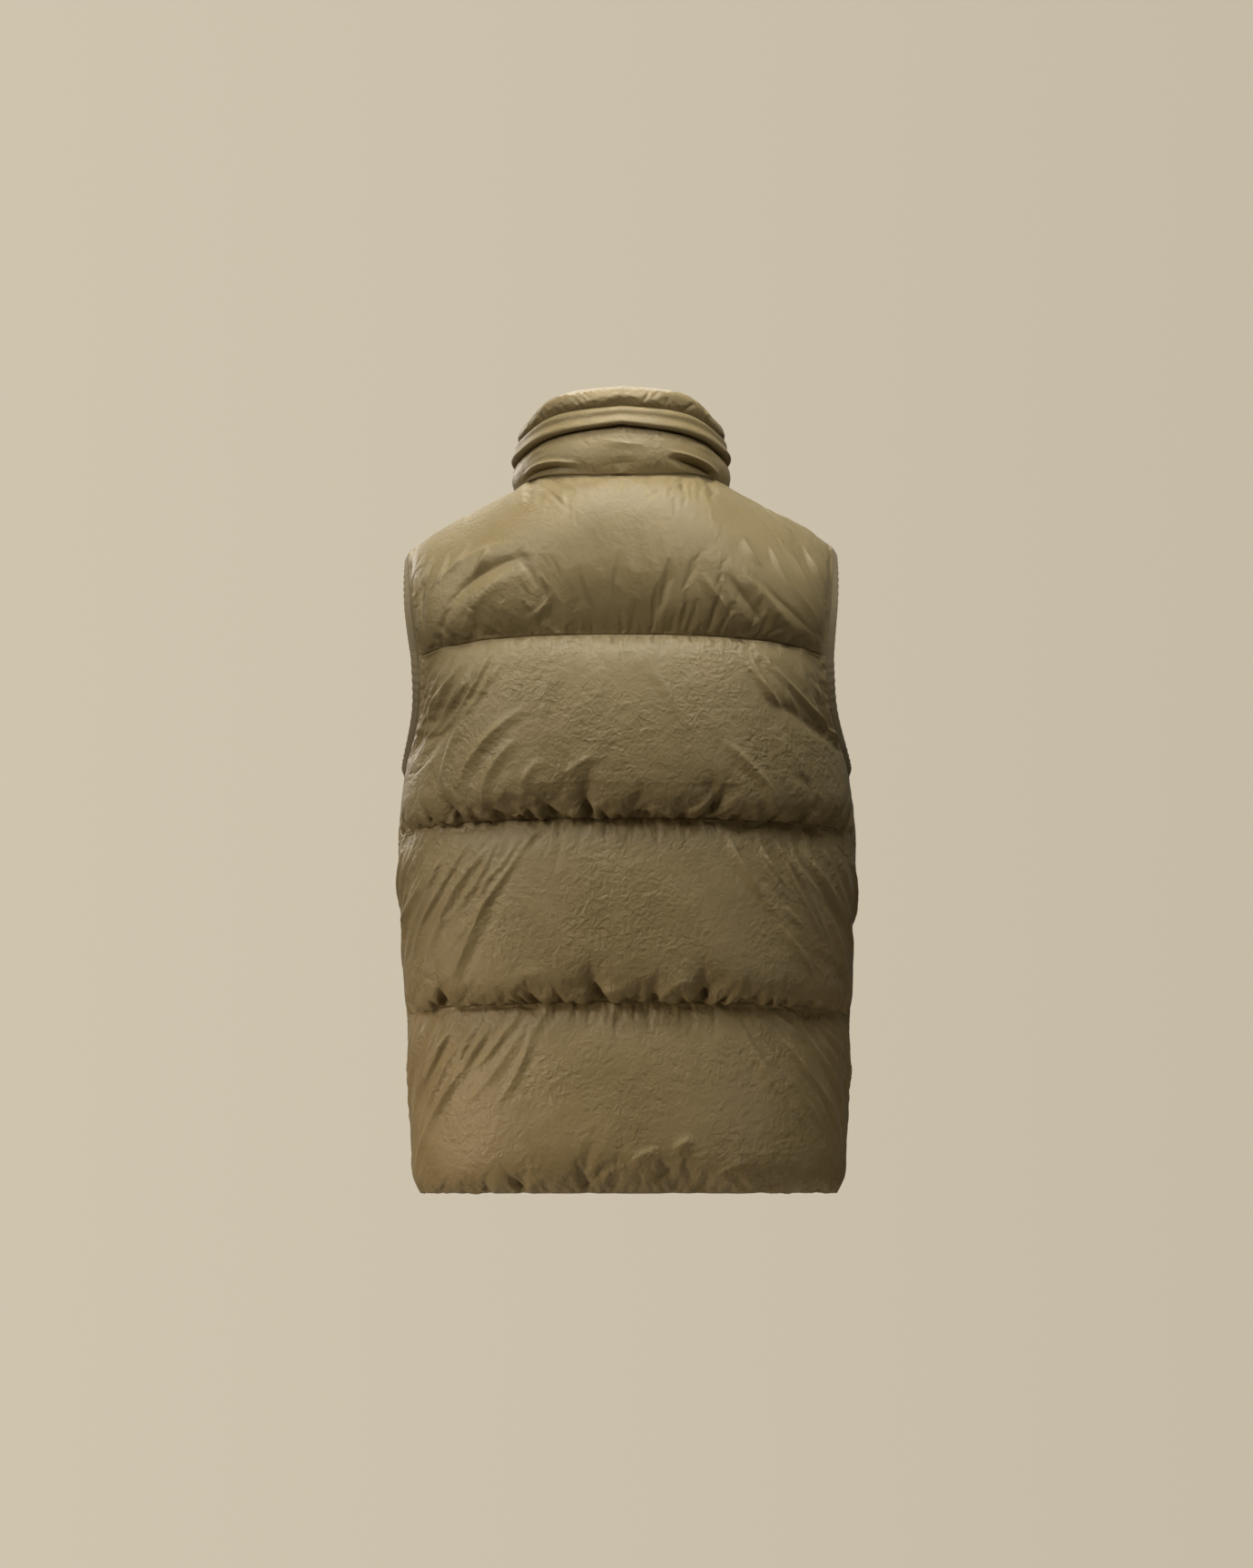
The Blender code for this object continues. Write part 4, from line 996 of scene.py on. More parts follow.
def collar_shells(finish):
    reach = np.pi - np.arcsin(FRONT_EDGE / NECK_HALF_WIDTH)
    count = int(round(2 * reach * NECK_MEAN_RADIUS / COLLAR_PITCH))
    angles = np.linspace(-reach, reach, count + 1)
    edges = [neck_seam(angles) + EDGE_LIFT]
    edges += [through(np.abs(np.degrees(angles)), RING["angle"], RING[name])
              for name in ("seam_low", "seam_high", "top")]
    return [collar_shell(name + "_shell", piece, *limits, angles, finish)
            for (name, piece), *limits in zip(COLLAR_PIECES.items(), edges, edges[1:])]


# ---------------------------------------------------------------- armhole bindings

BINDING_WIDTH = 0.0092
BINDING_THICKNESS = 0.0030
BINDING_OUT = ((-0.285, 0.25), (-0.19, 0.72), (-0.12, 0.70), (-0.07, 0.38))  # outward share at a height
BINDING_STATIONS = 260
BINDING_RIPPLE = 0.0007                   # height of the small ripples that the elastic draws
BINDING_RIPPLE_PITCH = 0.0085
BINDING_STITCH = 0.0014                   # from the panels' edge out to the row of stitches
BINDING_GRIP = 0.0012                     # how far it reaches in over the panels' edge
BINDING_SQUARENESS = 0.45                 # below 1 gives its section flat sides
BINDING_CORNERS = 20                      # points round its section
ARMHOLE_CROWDING = 1.6                    # above 1, the armhole is read more closely round its foot
RIPPLE_WANDER = 37                        # waves, in radians for each metre, that make the ripples uneven
RIPPLE_SWELL = 61
SMOOTHINGS = 6


def armhole_loop():
    """Even points and outward directions round the left armhole."""
    rows = np.linspace(0, 1, FINE_PLACES)
    low = SEAMS["middle"].side
    bottom = (SEAMS["upper"].side - ARMHOLE_DROP - low) / (SEAMS["upper"].side - low)
    points, outs = [], []
    for facing in (1, -1):
        chest = surface("chest", facing, 1.0, bottom + (1 - bottom) * rows ** ARMHOLE_CROWDING)
        yoke = surface("yoke", facing, 1.0, rows)
        way = [np.concatenate([lower, upper[1:]]) for lower, upper in zip(chest, yoke)]
        if facing < 0:
            way = [values[::-1][1:] for values in way]
        points.append(way[0])
        outs.append(way[1])
    points, outs = np.concatenate(points), np.concatenate(outs)
    run = lengths_along(points)
    at = np.linspace(0, run[-1], BINDING_STATIONS, endpoint=False)
    return read_along(at, run, points), unit(read_along(at, run, outs))


def smoothed_round(values, times):
    for _ in range(times):
        values = (np.roll(values, 1, 0) + 2 * values + np.roll(values, -1, 0)) / 4
    return values


def binding(side, sign, finish):
    """A folded elastic band that holds the panels' edge and stands out to the arm, and its seam's path."""
    edge, out = armhole_loop()
    out = unit(smoothed_round(out, SMOOTHINGS))
    along = unit(np.roll(edge, -1, 0) - np.roll(edge, 1, 0))
    hole = unit((edge.mean(0) - edge) * np.array([0, 1, 1]))
    outward = np.interp(edge[:, 2], *zip(*BINDING_OUT))[:, None]
    across = unit(smoothed_round(outward * np.array([1.0, 0, 0]) + (1 - outward) * hole, SMOOTHINGS))
    thick = unit(np.cross(across, along))
    thick = thick * np.sign((thick * out).sum(-1, keepdims=True))
    run = np.arange(len(edge)) * np.linalg.norm(edge[1] - edge[0])
    ripple = np.sin(2 * np.pi * run / BINDING_RIPPLE_PITCH + 2.0 * np.sin(run * RIPPLE_WANDER))
    ripple = ripple * (0.6 + 0.4 * np.sin(run * RIPPLE_SWELL))
    turns = np.linspace(0, 2 * np.pi, BINDING_CORNERS, endpoint=False)
    away = 0.5 - 0.5 * np.cos(turns)
    loops = []
    for turn, share in zip(turns, away):
        width = -BINDING_GRIP + share * (BINDING_WIDTH + BINDING_GRIP)
        half = BINDING_THICKNESS / 2 * np.sign(np.sin(turn)) * np.abs(np.sin(turn)) ** BINDING_SQUARENESS
        lift = (BINDING_RIPPLE * ripple * share)[:, None]
        loops.append(edge + across * width + thick * (half + lift))
    mirror = np.array([sign, 1, 1])
    rings = np.stack(loops, 1) * mirror
    band = sleeve(f"armhole_binding_{side}_elastic", rings, run, away * BINDING_WIDTH, True, finish)
    seam = lean((edge + across * BINDING_STITCH + thick * BINDING_THICKNESS / 2) * mirror)
    return band, np.concatenate([seam, seam[:1]]), np.concatenate([thick, thick[:1]]) * mirror


# ---------------------------------------------------------------- zip

TAPE_INNER = 0.0009       # from the front's middle to the tape's edge, under the teeth
TAPE_TUCK = 0.0016        # how far the tape is sewn in under a front's edge
TAPE_THICKNESS = 0.0010
TAPE_TOP = 0.0300
TAPE_FOOT = 0.002         # how far its lower end lies above the hem
TAPE_DEPTH_IN_COLLAR = 0.0030
TAPE_BEAD = 0.0009        # radius of the cord along the tape's inner edge
SLIDER_Z = 0.0150
TAPE_STATIONS = 240
FRONT_PLACES = (0.0, 0.25, 0.5, 0.75)     # shares of a baffle's height at which the zip's line is read
COLLAR_PLACES = 4                         # and how often over the collar
ZIP_PLACES = 600                          # even places that are kept of it
# Share of the tape's width, and half its thickness there against the cord's radius.
TAPE_SECTION = ((0.0, 0.4), (0.04, 1.0), (0.12, 1.0), (0.2, 0.42), (0.35, 0.36), (0.7, 0.36), (1.0, 0.34))
TOOTH_PITCH = 0.0030      # on one side; the other side's teeth stand between
TOOTH = (0.0042, 0.0022, 0.0013)          # across, out and along the zip
TOOTH_ROUNDING = 0.0004
TOOTH_PARTING = 0.0013    # how far the teeth stand apart above the slider
TOOTH_RUN = 0.0030        # how far the outermost end of a tooth lies from the middle
TEETH_START = 0.008       # from the tape's lower end to the first tooth, and from the last to its upper end
TEETH_END = 0.006
PARTING_FROM = -0.002     # from the slider's middle, where the teeth begin to part and are fully parted
PARTING_TO = 0.005

# The box and pin at the foot, and a stop at the top of each tape: at is the length from the nearer end.
ZipEnd = namedtuple("ZipEnd", "name at x size")
ZIP_ENDS = (
    ZipEnd("zip_box", 0.0035, 0.0, (0.0105, 0.0034, 0.0090)),
    ZipEnd("zip_stop_left", -0.0025, 0.0021, (0.0034, 0.0028, 0.0032)),
    ZipEnd("zip_stop_right", -0.0025, -0.0021, (0.0034, 0.0028, 0.0032)),
)
ZIP_END_ROUNDING = 0.0007


def zip_path(count):
    """Even points at the zip's middle, their outward directions, from the hem to the collar's top."""
    points, outs = [], []
    for baffle in reversed(BAFFLES):
        for up in FRONT_PLACES:
            point, out = surface(baffle, -1, 0.0, up)
            points.append(point)
            outs.append(out)
    neck = float(neck_seam(np.array([np.pi]))[0])
    for z in np.linspace(neck, TAPE_TOP, COLLAR_PLACES):
        points.append(np.array([FRONT_EDGE, SIDE_Y - NECK_FRONT + TAPE_DEPTH_IN_COLLAR, z]))
        outs.append(np.array([0.0, -1.0, 0.0]))
    points, outs = np.array(points), np.array(outs)
    points[:, 0] = 0
    outs[:, 0] = 0
    points[0, 2] += TAPE_FOOT
    points = points - unit(outs) * TAPE_THICKNESS / 2
    run = lengths_along(points)
    at = np.linspace(0, run[-1], count)
    return read_along(at, run, points), unit(read_along(at, run, unit(outs))), at


ZIP_PATH = zip_path(ZIP_PLACES)


def on_zip(at):
    """Places at lengths along the zip, and the axes there: to the left, outward and up the zip."""
    middle, out, run = ZIP_PATH
    facing = unit(read_along(at, run, out))
    sideways = np.repeat([[1.0, 0.0, 0.0]], len(at), 0)
    return read_along(at, run, middle), np.stack([sideways, facing, np.cross(sideways, facing)], 1)


def add_tape(side, sign, finish):
    """A woven tape with a corded inner edge, and its flat width and length."""
    middle, out, _ = zip_path(TAPE_STATIONS)
    width = FRONT_EDGE + TAPE_TUCK - TAPE_INNER
    section = TAPE_SECTION + tuple((share, -thick) for share, thick in reversed(TAPE_SECTION))
    rings = []
    for share, thick in section:
        x = np.full(len(middle), (TAPE_INNER + share * width) * sign)
        rings.append(middle + out * thick * TAPE_BEAD + np.stack([x, 0 * x, 0 * x], -1))
    run = lengths_along(middle)
    across = np.array([share for share, _ in section]) * width
    return sleeve(f"zip_tape_{side}_woven", np.stack(rings, 1), run, across, False, finish), width, run[-1]


def rounded_block(size, round_off):
    """Points and faces of a block with its edges taken off."""
    shape = bmesh.new()
    bmesh.ops.create_cube(shape, size=1.0)
    for vertex in shape.verts:
        vertex.co = Vector([c * s for c, s in zip(vertex.co, size)])
    bmesh.ops.bevel(shape, geom=shape.edges[:], offset=round_off, segments=2, affect="EDGES", profile=0.6)
    shape.verts.ensure_lookup_table()
    points = np.array([v.co[:] for v in shape.verts])
    faces = [[v.index for v in f.verts] for f in shape.faces]
    shape.free()
    return points, faces


def repeated(name, block, places, axes, finish):
    """One mesh of a block set at many places, each with its own three axes."""
    points, faces = block
    all_points = (np.einsum("nk,mkj->mnj", points, axes) + places[:, None]).reshape(-1, 3)
    firsts = range(0, len(all_points), len(points))
    all_faces = [[n + first for n in face] for first in firsts for face in faces]
    return add_mesh(name, all_points, all_faces, finish)


def add_teeth(side, sign, finish):
    """Moulded teeth along one tape, meshed below the slider and parted above it."""
    first = TEETH_START + (0.5 * TOOTH_PITCH if sign < 0 else 0)
    place, axes = on_zip(np.arange(first, ZIP_PATH[-1][-1] - TEETH_END, TOOTH_PITCH))
    parted = ease(SLIDER_Z + PARTING_FROM, SLIDER_Z + PARTING_TO, place[:, 2]) * TOOTH_PARTING
    place[:, 0] = sign * (TOOTH_RUN - TOOTH[0] / 2 + parted)
    return repeated(f"zip_teeth_{side}", rounded_block(TOOTH, TOOTH_ROUNDING), lean(place), axes, finish)


def add_zip_end(end, finish):
    place, axes = on_zip(np.array([end.at if end.at > 0 else ZIP_PATH[-1][-1] + end.at]))
    place[:, 0] = end.x
    return repeated(end.name, rounded_block(end.size, ZIP_END_ROUNDING), lean(place), axes, finish)


# ---------------------------------------------------------------- sewing

STITCH_LENGTH = 0.0030
STITCH_GAP = 0.0006
THREAD_RADIUS = 0.00028
THREAD_SIDES = 6
# Along a stitch, how far it dips, and its thickness, each as a share.
STITCH_RINGS = ((-0.5, 1.0, 0.35), (-0.32, 0.0, 1.0), (0.32, 0.0, 1.0), (0.5, 1.0, 0.35))
ZIP_STITCH_COLUMN = 2     # of a front's fine columns, counted from the zip


def stitches(name, path, lift, finish):
    """A row of stitches along a path: short rounded lengths of thread lying on the cloth."""
    run = lengths_along(path)
    count = max(int(run[-1] / (STITCH_LENGTH + STITCH_GAP)), 1)
    starts = np.linspace(0, run[-1] - STITCH_LENGTH, count)
    ends = starts + STITCH_LENGTH
    first, last = read_along(starts, run, path), read_along(ends, run, path)
    up = read_along((starts + ends) / 2, run, lift)
    along = unit(last - first)
    up = unit(up - along * (up * along).sum(-1, keepdims=True))
    axes = np.stack([along, np.cross(up, along), up], 1)
    return repeated(name, thread_block(), (first + last) / 2, axes, finish)


def thread_block():
    """A stitch: a length of thread with flat sides that dips into the cloth at both ends."""
    turns = np.linspace(0, 2 * np.pi, THREAD_SIDES, endpoint=False)
    rings, faces = [], []
    for x, dip, radius in STITCH_RINGS:
        y, z = np.cos(turns) * radius * THREAD_RADIUS, np.sin(turns) * radius * THREAD_RADIUS
        x = np.full(THREAD_SIDES, x * STITCH_LENGTH)
        rings.append(np.stack([x, y, z + THREAD_RADIUS * (0.5 - dip)], -1))
    number = np.arange(len(rings) * THREAD_SIDES).reshape(-1, THREAD_SIDES)
    for lower, upper in zip(number, number[1:]):
        faces += np.stack([lower, np.roll(lower, -1), np.roll(upper, -1), upper], -1).tolist()
    faces += [number[0].tolist(), number[-1].tolist()]
    return np.concatenate(rings), faces


# ---------------------------------------------------------------- finishes

def linear(colour):
    """A linear colour from an sRGB hex value."""
    parts = [int(colour[i:i + 2], 16) / 255 for i in (1, 3, 5)]
    return (*[p / 12.92 if p <= 0.04045 else ((p + 0.055) / 1.055) ** 2.4 for p in parts], 1.0)


def add_node(tree, kind, settings=None, values=None, links=None, stops=()):
    """Adds a node: its settings, its inputs' values and sources, and a ramp's stops of place and colour."""
    node = tree.nodes.new("ShaderNode" + kind)
    for key, value in (settings or {}).items():
        setattr(node, key, value)
    for key, value in (values or {}).items():
        node.inputs[key].default_value = value
    for key, source in (links or {}).items():
        tree.links.new(source, node.inputs[key])
    if stops:
        elements = node.color_ramp.elements
        while len(elements) < len(stops):
            elements.new(0.5)
        for element, (place, colour) in zip(elements, stops):
            element.position = place
            element.color = linear(colour)
    return node


def new_finish(name, constants):
    """A material whose shader has these values on its sockets, with its nodes and that shader."""
    made = bpy.data.materials.new(name)
    made.use_nodes = True
    shader = made.node_tree.nodes["Principled BSDF"]
    for socket, value in constants.items():
        shader.inputs[socket].default_value = value
    return made, made.node_tree, shader


def draw_pattern(tree, shader, pattern, stops, strength=None, depth=None):
    """Colours a surface by a pattern from 0 to 1, and raises it by a depth in metres where one is given."""
    colour = add_node(tree, "ValToRGB", links={"Fac": pattern}, stops=stops)
    tree.links.new(colour.outputs["Color"], shader.inputs["Base Color"])
    if depth is not None:
        raised = add_node(tree, "Bump", values={"Strength": strength, "Distance": depth},
                          links={"Height": pattern})
        tree.links.new(raised.outputs["Normal"], shader.inputs["Normal"])


# Metres: how far apart the small creases of the cloth lie, and how deep they are.
CRINKLES = ((0.026, 0.0007), (0.012, 0.0011), (0.006, 0.0014), (0.003, 0.0010))
CRINKLE_SHIFTS = (0.0, 3.7)   # between the two noises that make a crinkle, and from one crinkle to the next
CRINKLE_STEP = 1.9
CRINKLE_PATCHES = 16.0    # in a metre: the small creases come in patches of about 60 mm
DYE_PATCHES = 22.0        # in a metre: the dye is uneven over about 45 mm
WAVE_PITCH = 0.314        # metres between a wave texture's bands at scale 1
THREAD_PITCH = 0.0007     # real threads lie 0.2 mm apart, too fine to show, so they are drawn coarser
ELASTIC_RIB_PITCH = 0.0014
TAPE_RIB_PITCH = 0.0010
ACETAL_MARKS = 600.0      # in a metre: flow marks of about 1.7 mm
ZINC_GRAINS = 900.0       # in a metre: cast grain of about 1.1 mm
THREAD_TWISTS = 1500.0    # in a metre: a twist of about 0.7 mm
ROLLER_MARKS = 180.0      # in a metre: a stipple of about 5.5 mm


def crinkle(tree, place, across, number):
    """Sharp little ridges and furrows round 0 that lie some way across from each other."""
    sides = []
    for shift in CRINKLE_SHIFTS:
        moved = add_node(tree, "VectorMath", {"operation": "ADD"},
                         {1: (shift, number * CRINKLE_STEP, shift)}, {0: place})
        noise = add_node(tree, "TexNoise", values={"Scale": 0.5 / across, "Detail": 0.5, "Distortion": 0.6},
                         links={"Vector": moved.outputs["Vector"]})
        middle = add_node(tree, "Math", {"operation": "SUBTRACT"}, {1: 0.5}, {0: noise.outputs["Fac"]})
        folded = add_node(tree, "Math", {"operation": "ABSOLUTE"}, links={0: middle.outputs["Value"]})
        sides.append(folded.outputs["Value"])
    both = add_node(tree, "Math", {"operation": "SUBTRACT"}, links={0: sides[0], 1: sides[1]})
    return both.outputs["Value"]


def crumpled(tree, place):
    """Height in metres of all the small creases, which come in patches and are lowest on the yoke."""
    patches = add_node(tree, "TexNoise", values={"Scale": CRINKLE_PATCHES, "Detail": 1.0},
                       links={"Vector": place})
    patchy = add_node(tree, "MapRange", links={"Value": patches.outputs["Fac"]},
                      values={"From Min": 0.38, "From Max": 0.64, "To Min": 0.5, "To Max": 1.1})
    upright = add_node(tree, "SeparateXYZ", links={"Vector": place})
    smooth = add_node(tree, "MapRange", links={"Value": upright.outputs["Z"]},
                      values={"From Min": -0.20, "From Max": -0.08, "To Min": 1.0, "To Max": 0.5})
    amount = add_node(tree, "Math", {"operation": "MULTIPLY"},
                      links={0: patchy.outputs["Result"], 1: smooth.outputs["Result"]})
    height = None
    for number, (across, depth) in enumerate(CRINKLES):
        fold = crinkle(tree, place, across, number)
        scaled = add_node(tree, "Math", {"operation": "MULTIPLY"}, {1: depth}, {0: fold})
        if height is not None:
            scaled = add_node(tree, "Math", {"operation": "ADD"},
                              links={0: height, 1: scaled.outputs["Value"]})
        height = scaled.outputs["Value"]
    height = add_node(tree, "Math", {"operation": "MULTIPLY"},
                      links={0: height, 1: amount.outputs["Value"]})
    return height.outputs["Value"]


def weave(tree, cloth):
    """Height of the nylon's plain weave, whose threads run both ways."""
    waves = []
    for direction in ("X", "Y"):
        wave = add_node(tree, "TexWave", {"bands_direction": direction, "wave_profile": "SIN"},
                        {"Scale": WAVE_PITCH / THREAD_PITCH / 2, "Distortion": 0.4, "Detail": 1.0},
                        {"Vector": cloth})
        waves.append(wave.outputs["Fac"])
    both = add_node(tree, "Math", {"operation": "MULTIPLY"}, links={0: waves[0], 1: waves[1]})
    return both.outputs["Value"]


def crinkled_nylon():
    """Crinkled nylon taffeta, calendered on one side: a matt cloth with a low gloss, so that its sharp
    little creases catch the light, and a slightly uneven dye."""
    made, tree, shader = new_finish("crinkled_nylon_taffeta", {
        "IOR": 1.53, "Specular IOR Level": 0.46, "Sheen Weight": 0.06, "Sheen Roughness": 0.5})
    place = add_node(tree, "TexCoord").outputs["Object"]
    cloth = add_node(tree, "UVMap", {"uv_map": "cloth"}).outputs["UV"]
    dye = add_node(tree, "TexNoise", values={"Scale": DYE_PATCHES, "Detail": 4.0, "Roughness": 0.6},
                   links={"Vector": place})
    draw_pattern(tree, shader, dye.outputs["Fac"], ((0.30, "#7f6f4b"), (0.52, "#857550"), (0.72, "#8b7a56")))
    gloss = add_node(tree, "MapRange", links={"Value": dye.outputs["Fac"]},
                     values={"From Min": 0.3, "From Max": 0.7, "To Min": 0.47, "To Max": 0.58})
    tree.links.new(gloss.outputs["Result"], shader.inputs["Roughness"])
    creased_cloth = add_node(tree, "Bump", values={"Strength": 1.0, "Distance": 1.0},
                             links={"Height": crumpled(tree, place)})
    woven = add_node(tree, "Bump", values={"Strength": 0.4, "Distance": 0.00002},
                     links={"Height": weave(tree, cloth), "Normal": creased_cloth.outputs["Normal"]})
    tree.links.new(woven.outputs["Normal"], shader.inputs["Normal"])
    return made


def ribbed_elastic():
    """Folded knitted elastic of nylon and elastane: a soft matt band with fine ribs across it."""
    made, tree, shader = new_finish("ribbed_binding_elastic", {
        "Roughness": 0.8, "IOR": 1.53, "Sheen Weight": 0.08})
    cloth = add_node(tree, "UVMap", {"uv_map": "cloth"}).outputs["UV"]
    ribs = add_node(tree, "TexWave", {"bands_direction": "Y", "wave_profile": "SIN"},
                    {"Scale": WAVE_PITCH / ELASTIC_RIB_PITCH, "Distortion": 0.5, "Detail": 1.0},
                    {"Vector": cloth})
    draw_pattern(tree, shader, ribs.outputs["Fac"], ((0.0, "#6d6044"), (1.0, "#8e8062")), 0.6, 0.0003)
    return made


def woven_tape():
    """Polyester zip tape in a herringbone weave: dull, with fine slanting ribs."""
    made, tree, shader = new_finish("woven_zip_tape_polyester", {"Roughness": 0.85, "IOR": 1.57})
    cloth = add_node(tree, "UVMap", {"uv_map": "cloth"}).outputs["UV"]
    slant = add_node(tree, "Mapping", values={"Rotation": (0.0, 0.0, 0.7)}, links={"Vector": cloth})
    ribs = add_node(tree, "TexWave", {"bands_direction": "X"},
                    {"Scale": WAVE_PITCH / TAPE_RIB_PITCH, "Distortion": 0.2},
                    {"Vector": slant.outputs["Vector"]})
    draw_pattern(tree, shader, ribs.outputs["Fac"], ((0.0, "#4c4230"), (1.0, "#665940")), 0.5, 0.0002)
    return made


def moulded_acetal():
    """Acetal, injection moulded for the zip's teeth: smooth, waxy and slightly glossy."""
    made, tree, shader = new_finish("moulded_acetal_teeth", {"Roughness": 0.38, "IOR": 1.48})
    place = add_node(tree, "TexCoord").outputs["Object"]
    flow = add_node(tree, "TexNoise", values={"Scale": ACETAL_MARKS, "Detail": 2.0},
                    links={"Vector": place})
    draw_pattern(tree, shader, flow.outputs["Fac"], ((0.35, "#4a3f2b"), (0.65, "#574b34")))
    return made


def lacquered_zinc():
    """Die-cast zinc under a thin dark lacquer: a satin metal with a faint cast grain."""
    made, tree, shader = new_finish("lacquered_zinc_die_cast", {"Metallic": 1.0})
    place = add_node(tree, "TexCoord").outputs["Object"]
    grain = add_node(tree, "TexNoise", values={"Scale": ZINC_GRAINS, "Detail": 3.0},
                     links={"Vector": place})
    draw_pattern(tree, shader, grain.outputs["Fac"], ((0.3, "#4d4434"), (0.7, "#5e533f")), 0.3, 0.00005)
    rough = add_node(tree, "MapRange", links={"Value": grain.outputs["Fac"]},
                     values={"From Min": 0.3, "From Max": 0.7, "To Min": 0.30, "To Max": 0.42})
    tree.links.new(rough.outputs["Result"], shader.inputs["Roughness"])
    return made


def sewing_thread():
    """Spun polyester sewing thread, two-ply: matt, with a fine uneven twist."""
    made, tree, shader = new_finish("spun_polyester_thread", {"Roughness": 0.75, "IOR": 1.57})
    place = add_node(tree, "TexCoord").outputs["Object"]
    twist = add_node(tree, "TexNoise", values={"Scale": THREAD_TWISTS, "Detail": 2.0},
                     links={"Vector": place})
    draw_pattern(tree, shader, twist.outputs["Fac"], ((0.3, "#6a5c40"), (0.7, "#857552")), 0.5, 0.0001)
    return made


def painted_board():
    """Fibreboard under matt emulsion, rolled on: a pale studio floor with a faint stipple."""
    made, tree, shader = new_finish("matt_painted_floor_board", {"Roughness": 0.9})
    place = add_node(tree, "TexCoord").outputs["Object"]
    stipple = add_node(tree, "TexNoise", values={"Scale": ROLLER_MARKS, "Detail": 2.0},
                       links={"Vector": place})
    draw_pattern(tree, shader, stipple.outputs["Fac"], ((0.3, "#cfc4b0"), (0.7, "#d4cab7")))
    return made


# ---------------------------------------------------------------- stage

CAMERA_AWAY = 3.2
CAMERA_Z = -0.2886
VIEW_HEIGHT = 1.520       # what the picture's height takes in at the origin's distance
SENSOR = 36.0
FLOOR_Z = -1.5
FLOOR_RADIUS = 1.1
FLOOR_SIDES = 64
BACKDROP_PAINTED_LIGHT = ((0.0, "#c5baa5"), (1.0, "#d0c6b0"))         # painted light: from the vest's right to its left, lighter on the side where the lamps stand
BACKGROUND_REACH = 0.22   # sine of the angle to each side within which it changes
SURROUND = "#dccbac"
SURROUND_STRENGTH = 0.035

Lamp = namedtuple("Lamp", "name place target size power spread colour")
LAMPS = (                 # large soft boxes, and small ones behind grids of the given spread in degrees
    Lamp("over_the_back", (-0.1, 0.8, 1.3), (0.0, 0.1, -0.1), (1.6, 0.6), 12.4, 180, "#fbfbf6"),
    Lamp("over_the_neck", (0.0, 0.4, 1.1), (0.0, 0.1, -0.1), (1.0, 0.5), 13.0, 180, "#fbfbf6"),
    Lamp("high_left", (1.6, 1.3, 0.9), (0.0, 0.1, -0.3), (0.8, 0.8), 22.0, 180, "#fff8ee"),
    Lamp("before_the_back", (0.1, 2.4, 1.2), (0.0, 0.1, -0.2), (1.0, 0.8), 0.3, 180, "#fff8ee"),
    Lamp("high_right", (-0.9, 1.6, 0.9), (-0.08, 0.1, 0.03), (0.5, 0.3), 0.22, 15, "#fff8ee"),
    Lamp("low_left", (1.1, 0.6, -0.62), (0.1, 0.1, -0.70), (0.4, 0.4), 0.58, 50, "#ffe9ce"),
    Lamp("low_right", (-1.0, 1.4, -0.55), (-0.14, 0.1, -0.64), (0.5, 0.3), 0.17, 34, "#fff0da"),
    Lamp("over_the_front", (0.2, -1.4, 1.4), (0.0, -0.05, -0.2), (1.2, 0.8), 21.0, 180, "#fffaf2"),
    Lamp("front_left", (1.4, -1.7, 0.4), (0.0, -0.1, -0.35), (0.8, 0.8), 16.0, 180, "#fff6ea"),
)


def add_camera():
    lens = bpy.data.cameras.new("camera")
    lens.sensor_width = SENSOR
    lens.lens = SENSOR * CAMERA_AWAY / VIEW_HEIGHT
    camera = bpy.data.objects.new("camera", lens)
    camera.location = (0.0, CAMERA_AWAY, CAMERA_Z)
    camera.rotation_euler = (np.pi / 2, 0.0, np.pi)
    bpy.context.scene.collection.objects.link(camera)
    bpy.context.scene.camera = camera


def add_lamp(lamp):
    light = bpy.data.lights.new(lamp.name, "AREA")
    light.shape = "RECTANGLE"
    light.size, light.size_y = lamp.size
    light.energy = lamp.power
    light.spread = np.radians(lamp.spread)
    light.color = linear(lamp.colour)[:3]
    thing = bpy.data.objects.new(lamp.name, light)
    thing.location = lamp.place
    thing.rotation_euler = (Vector(lamp.target) - Vector(lamp.place)).to_track_quat("-Z", "Y").to_euler()
    bpy.context.scene.collection.objects.link(thing)


def add_floor(finish):
    turns = np.linspace(0, 2 * np.pi, FLOOR_SIDES, endpoint=False)
    rim = np.stack([FLOOR_RADIUS * np.cos(turns), FLOOR_RADIUS * np.sin(turns), 0 * turns + FLOOR_Z], -1)
    add_mesh("floor", rim, [range(FLOOR_SIDES)], finish)


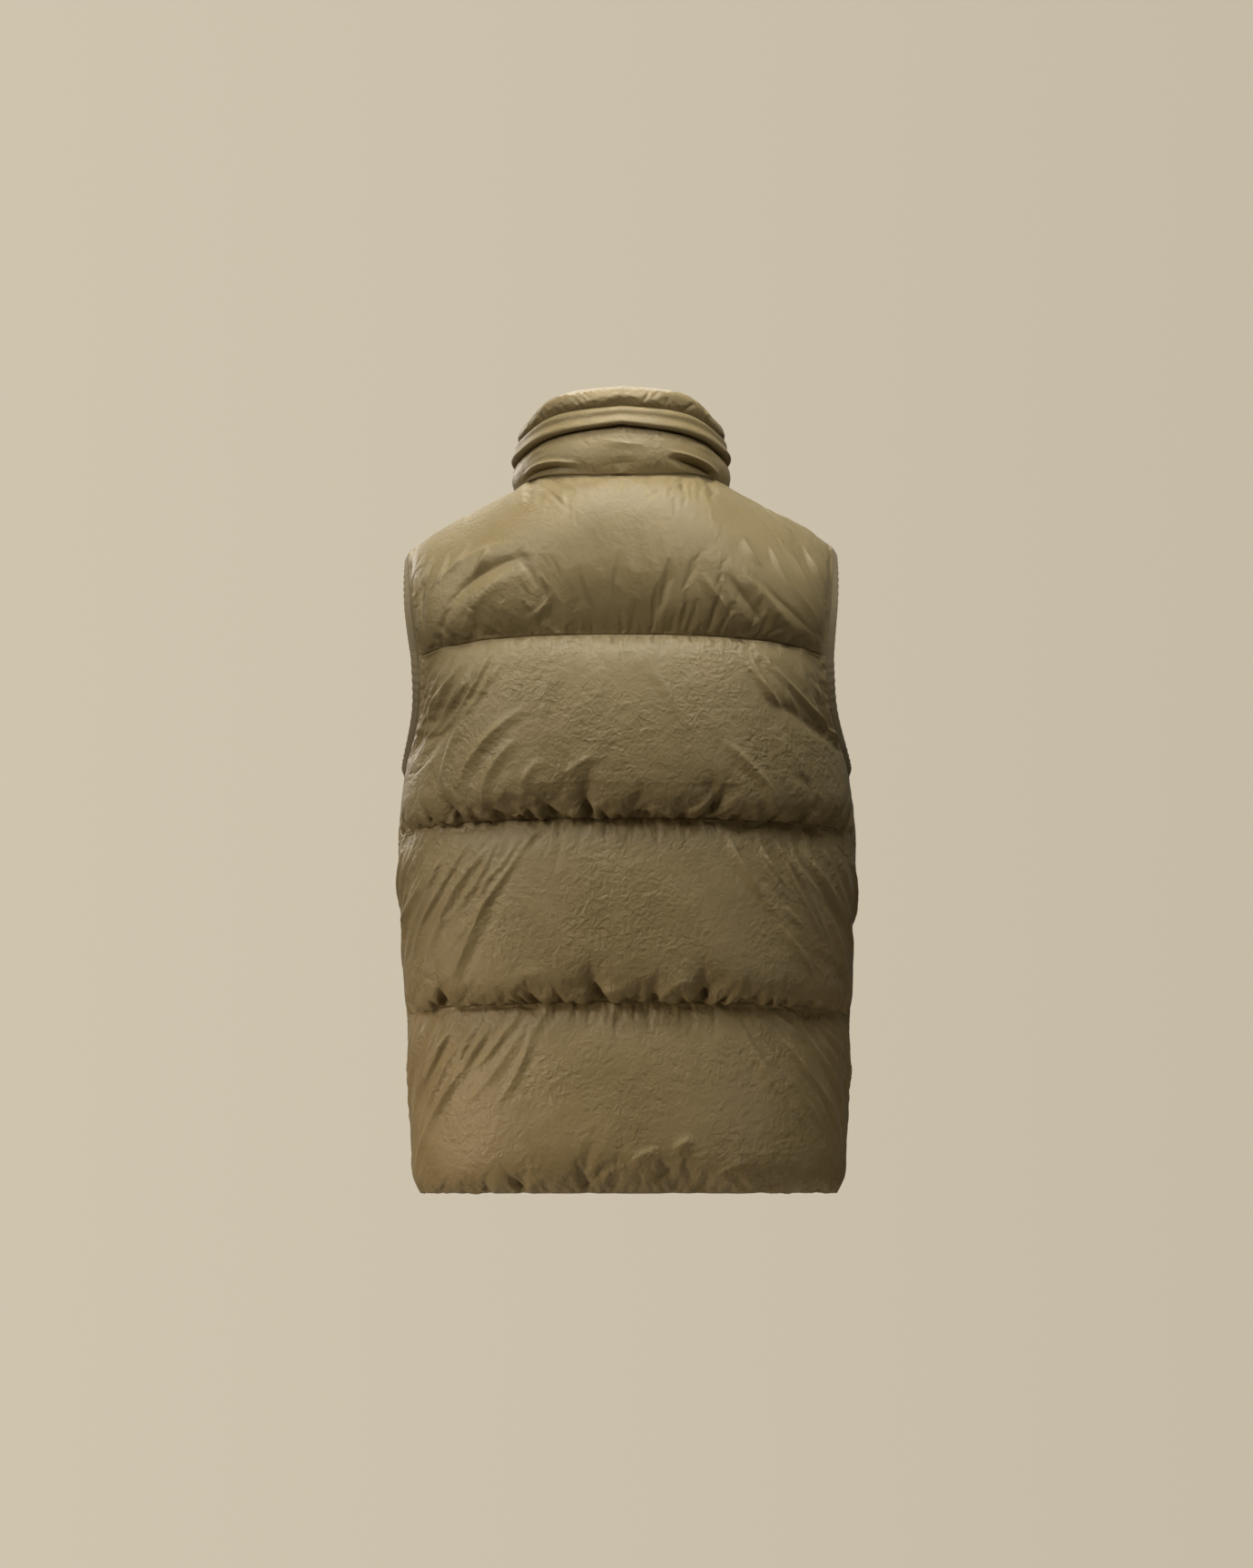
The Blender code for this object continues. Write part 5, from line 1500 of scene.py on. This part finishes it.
def add_surroundings():
    """Plain air: behind the vest a backdrop with painted light, darker at the vest's right and lighter at
    its left, and a dimmer light of much the same colour all round it.
    """
    world = bpy.data.worlds.new("studio")
    world.use_nodes = True
    tree = world.node_tree
    tree.nodes.clear()
    way = add_node(tree, "TexCoord").outputs["Generated"]
    sides = add_node(tree, "SeparateXYZ", links={"Vector": way})
    share = add_node(tree, "MapRange", values={"From Min": -BACKGROUND_REACH, "From Max": BACKGROUND_REACH},
                     links={"Value": sides.outputs["X"]})
    colour = add_node(tree, "ValToRGB", links={"Fac": share.outputs["Result"]}, stops=BACKDROP_PAINTED_LIGHT)
    seen = add_node(tree, "Background", values={"Strength": 1.0}, links={"Color": colour.outputs["Color"]})
    light = add_node(tree, "Background", values={"Color": linear(SURROUND), "Strength": SURROUND_STRENGTH})
    ray = add_node(tree, "LightPath")
    both = add_node(tree, "MixShader", links={
        0: ray.outputs["Is Camera Ray"], 1: light.outputs["Background"], 2: seen.outputs["Background"]})
    add_node(tree, "OutputWorld", links={"Surface": both.outputs["Shader"]})
    bpy.context.scene.world = world


def add_stage():
    bpy.context.scene.view_settings.view_transform = "Standard"
    add_camera()
    add_floor(painted_board())
    add_surroundings()
    for lamp in LAMPS:
        add_lamp(lamp)


# ---------------------------------------------------------------- the vest

def place_piece(piece, slot, *nodes, fill=None):
    """Sets a piece on the vest in place of its nodes."""
    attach(piece, BODY)
    if nodes:
        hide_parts(*nodes)


def add_padding(nylon, thread):
    shells = back_shells(nylon)
    for side, sign in SIDES:
        shells += front_shells(side, sign, nylon)
    shells += collar_shells(nylon)
    for shell, moved in zip(shells, blown_out(shells)):
        grid = finished_grid(shell, moved)
        name = shell.name.removesuffix("_shell")
        piece = wall(shell.name, grid, lining_of(shell.inner), shell.finish)
        place_piece(piece, "crinkled_nylon", name, fill=0.7)
        if name.startswith("front"):
            path, up = grid[:, ZIP_STITCH_COLUMN], outward_normals(grid)[:, ZIP_STITCH_COLUMN]
            place_piece(stitches(f"{name}_stitches", path, up, thread), "crinkled_nylon")


def main():
    nylon, elastic, tape = crinkled_nylon(), ribbed_elastic(), woven_tape()
    acetal, zinc, thread = moulded_acetal(), lacquered_zinc(), sewing_thread()
    add_stage()
    add_padding(nylon, thread)
    for side, sign in SIDES:
        band, seam, up = binding(side, sign, elastic)
        place_piece(band, "binding_elastic", f"armhole_binding_{side}")
        sewn = stitches(f"armhole_binding_{side}_stitches", seam, up, thread)
        place_piece(sewn, "binding_elastic")
        strip, width, length = add_tape(side, sign, tape)
        place_piece(strip, "zip_tape_polyester", f"zip_tape_{side}")
        teeth = add_teeth(side, sign, acetal)
        place_piece(teeth, "zip_tape_polyester")
    for end in ZIP_ENDS:
        place_piece(add_zip_end(end, acetal), "zip_tape_polyester")
    for name in ("zip_slider", "zip_pull"):
        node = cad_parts[name]
        node.data.materials.clear()
        node.data.materials.append(zinc)


main()
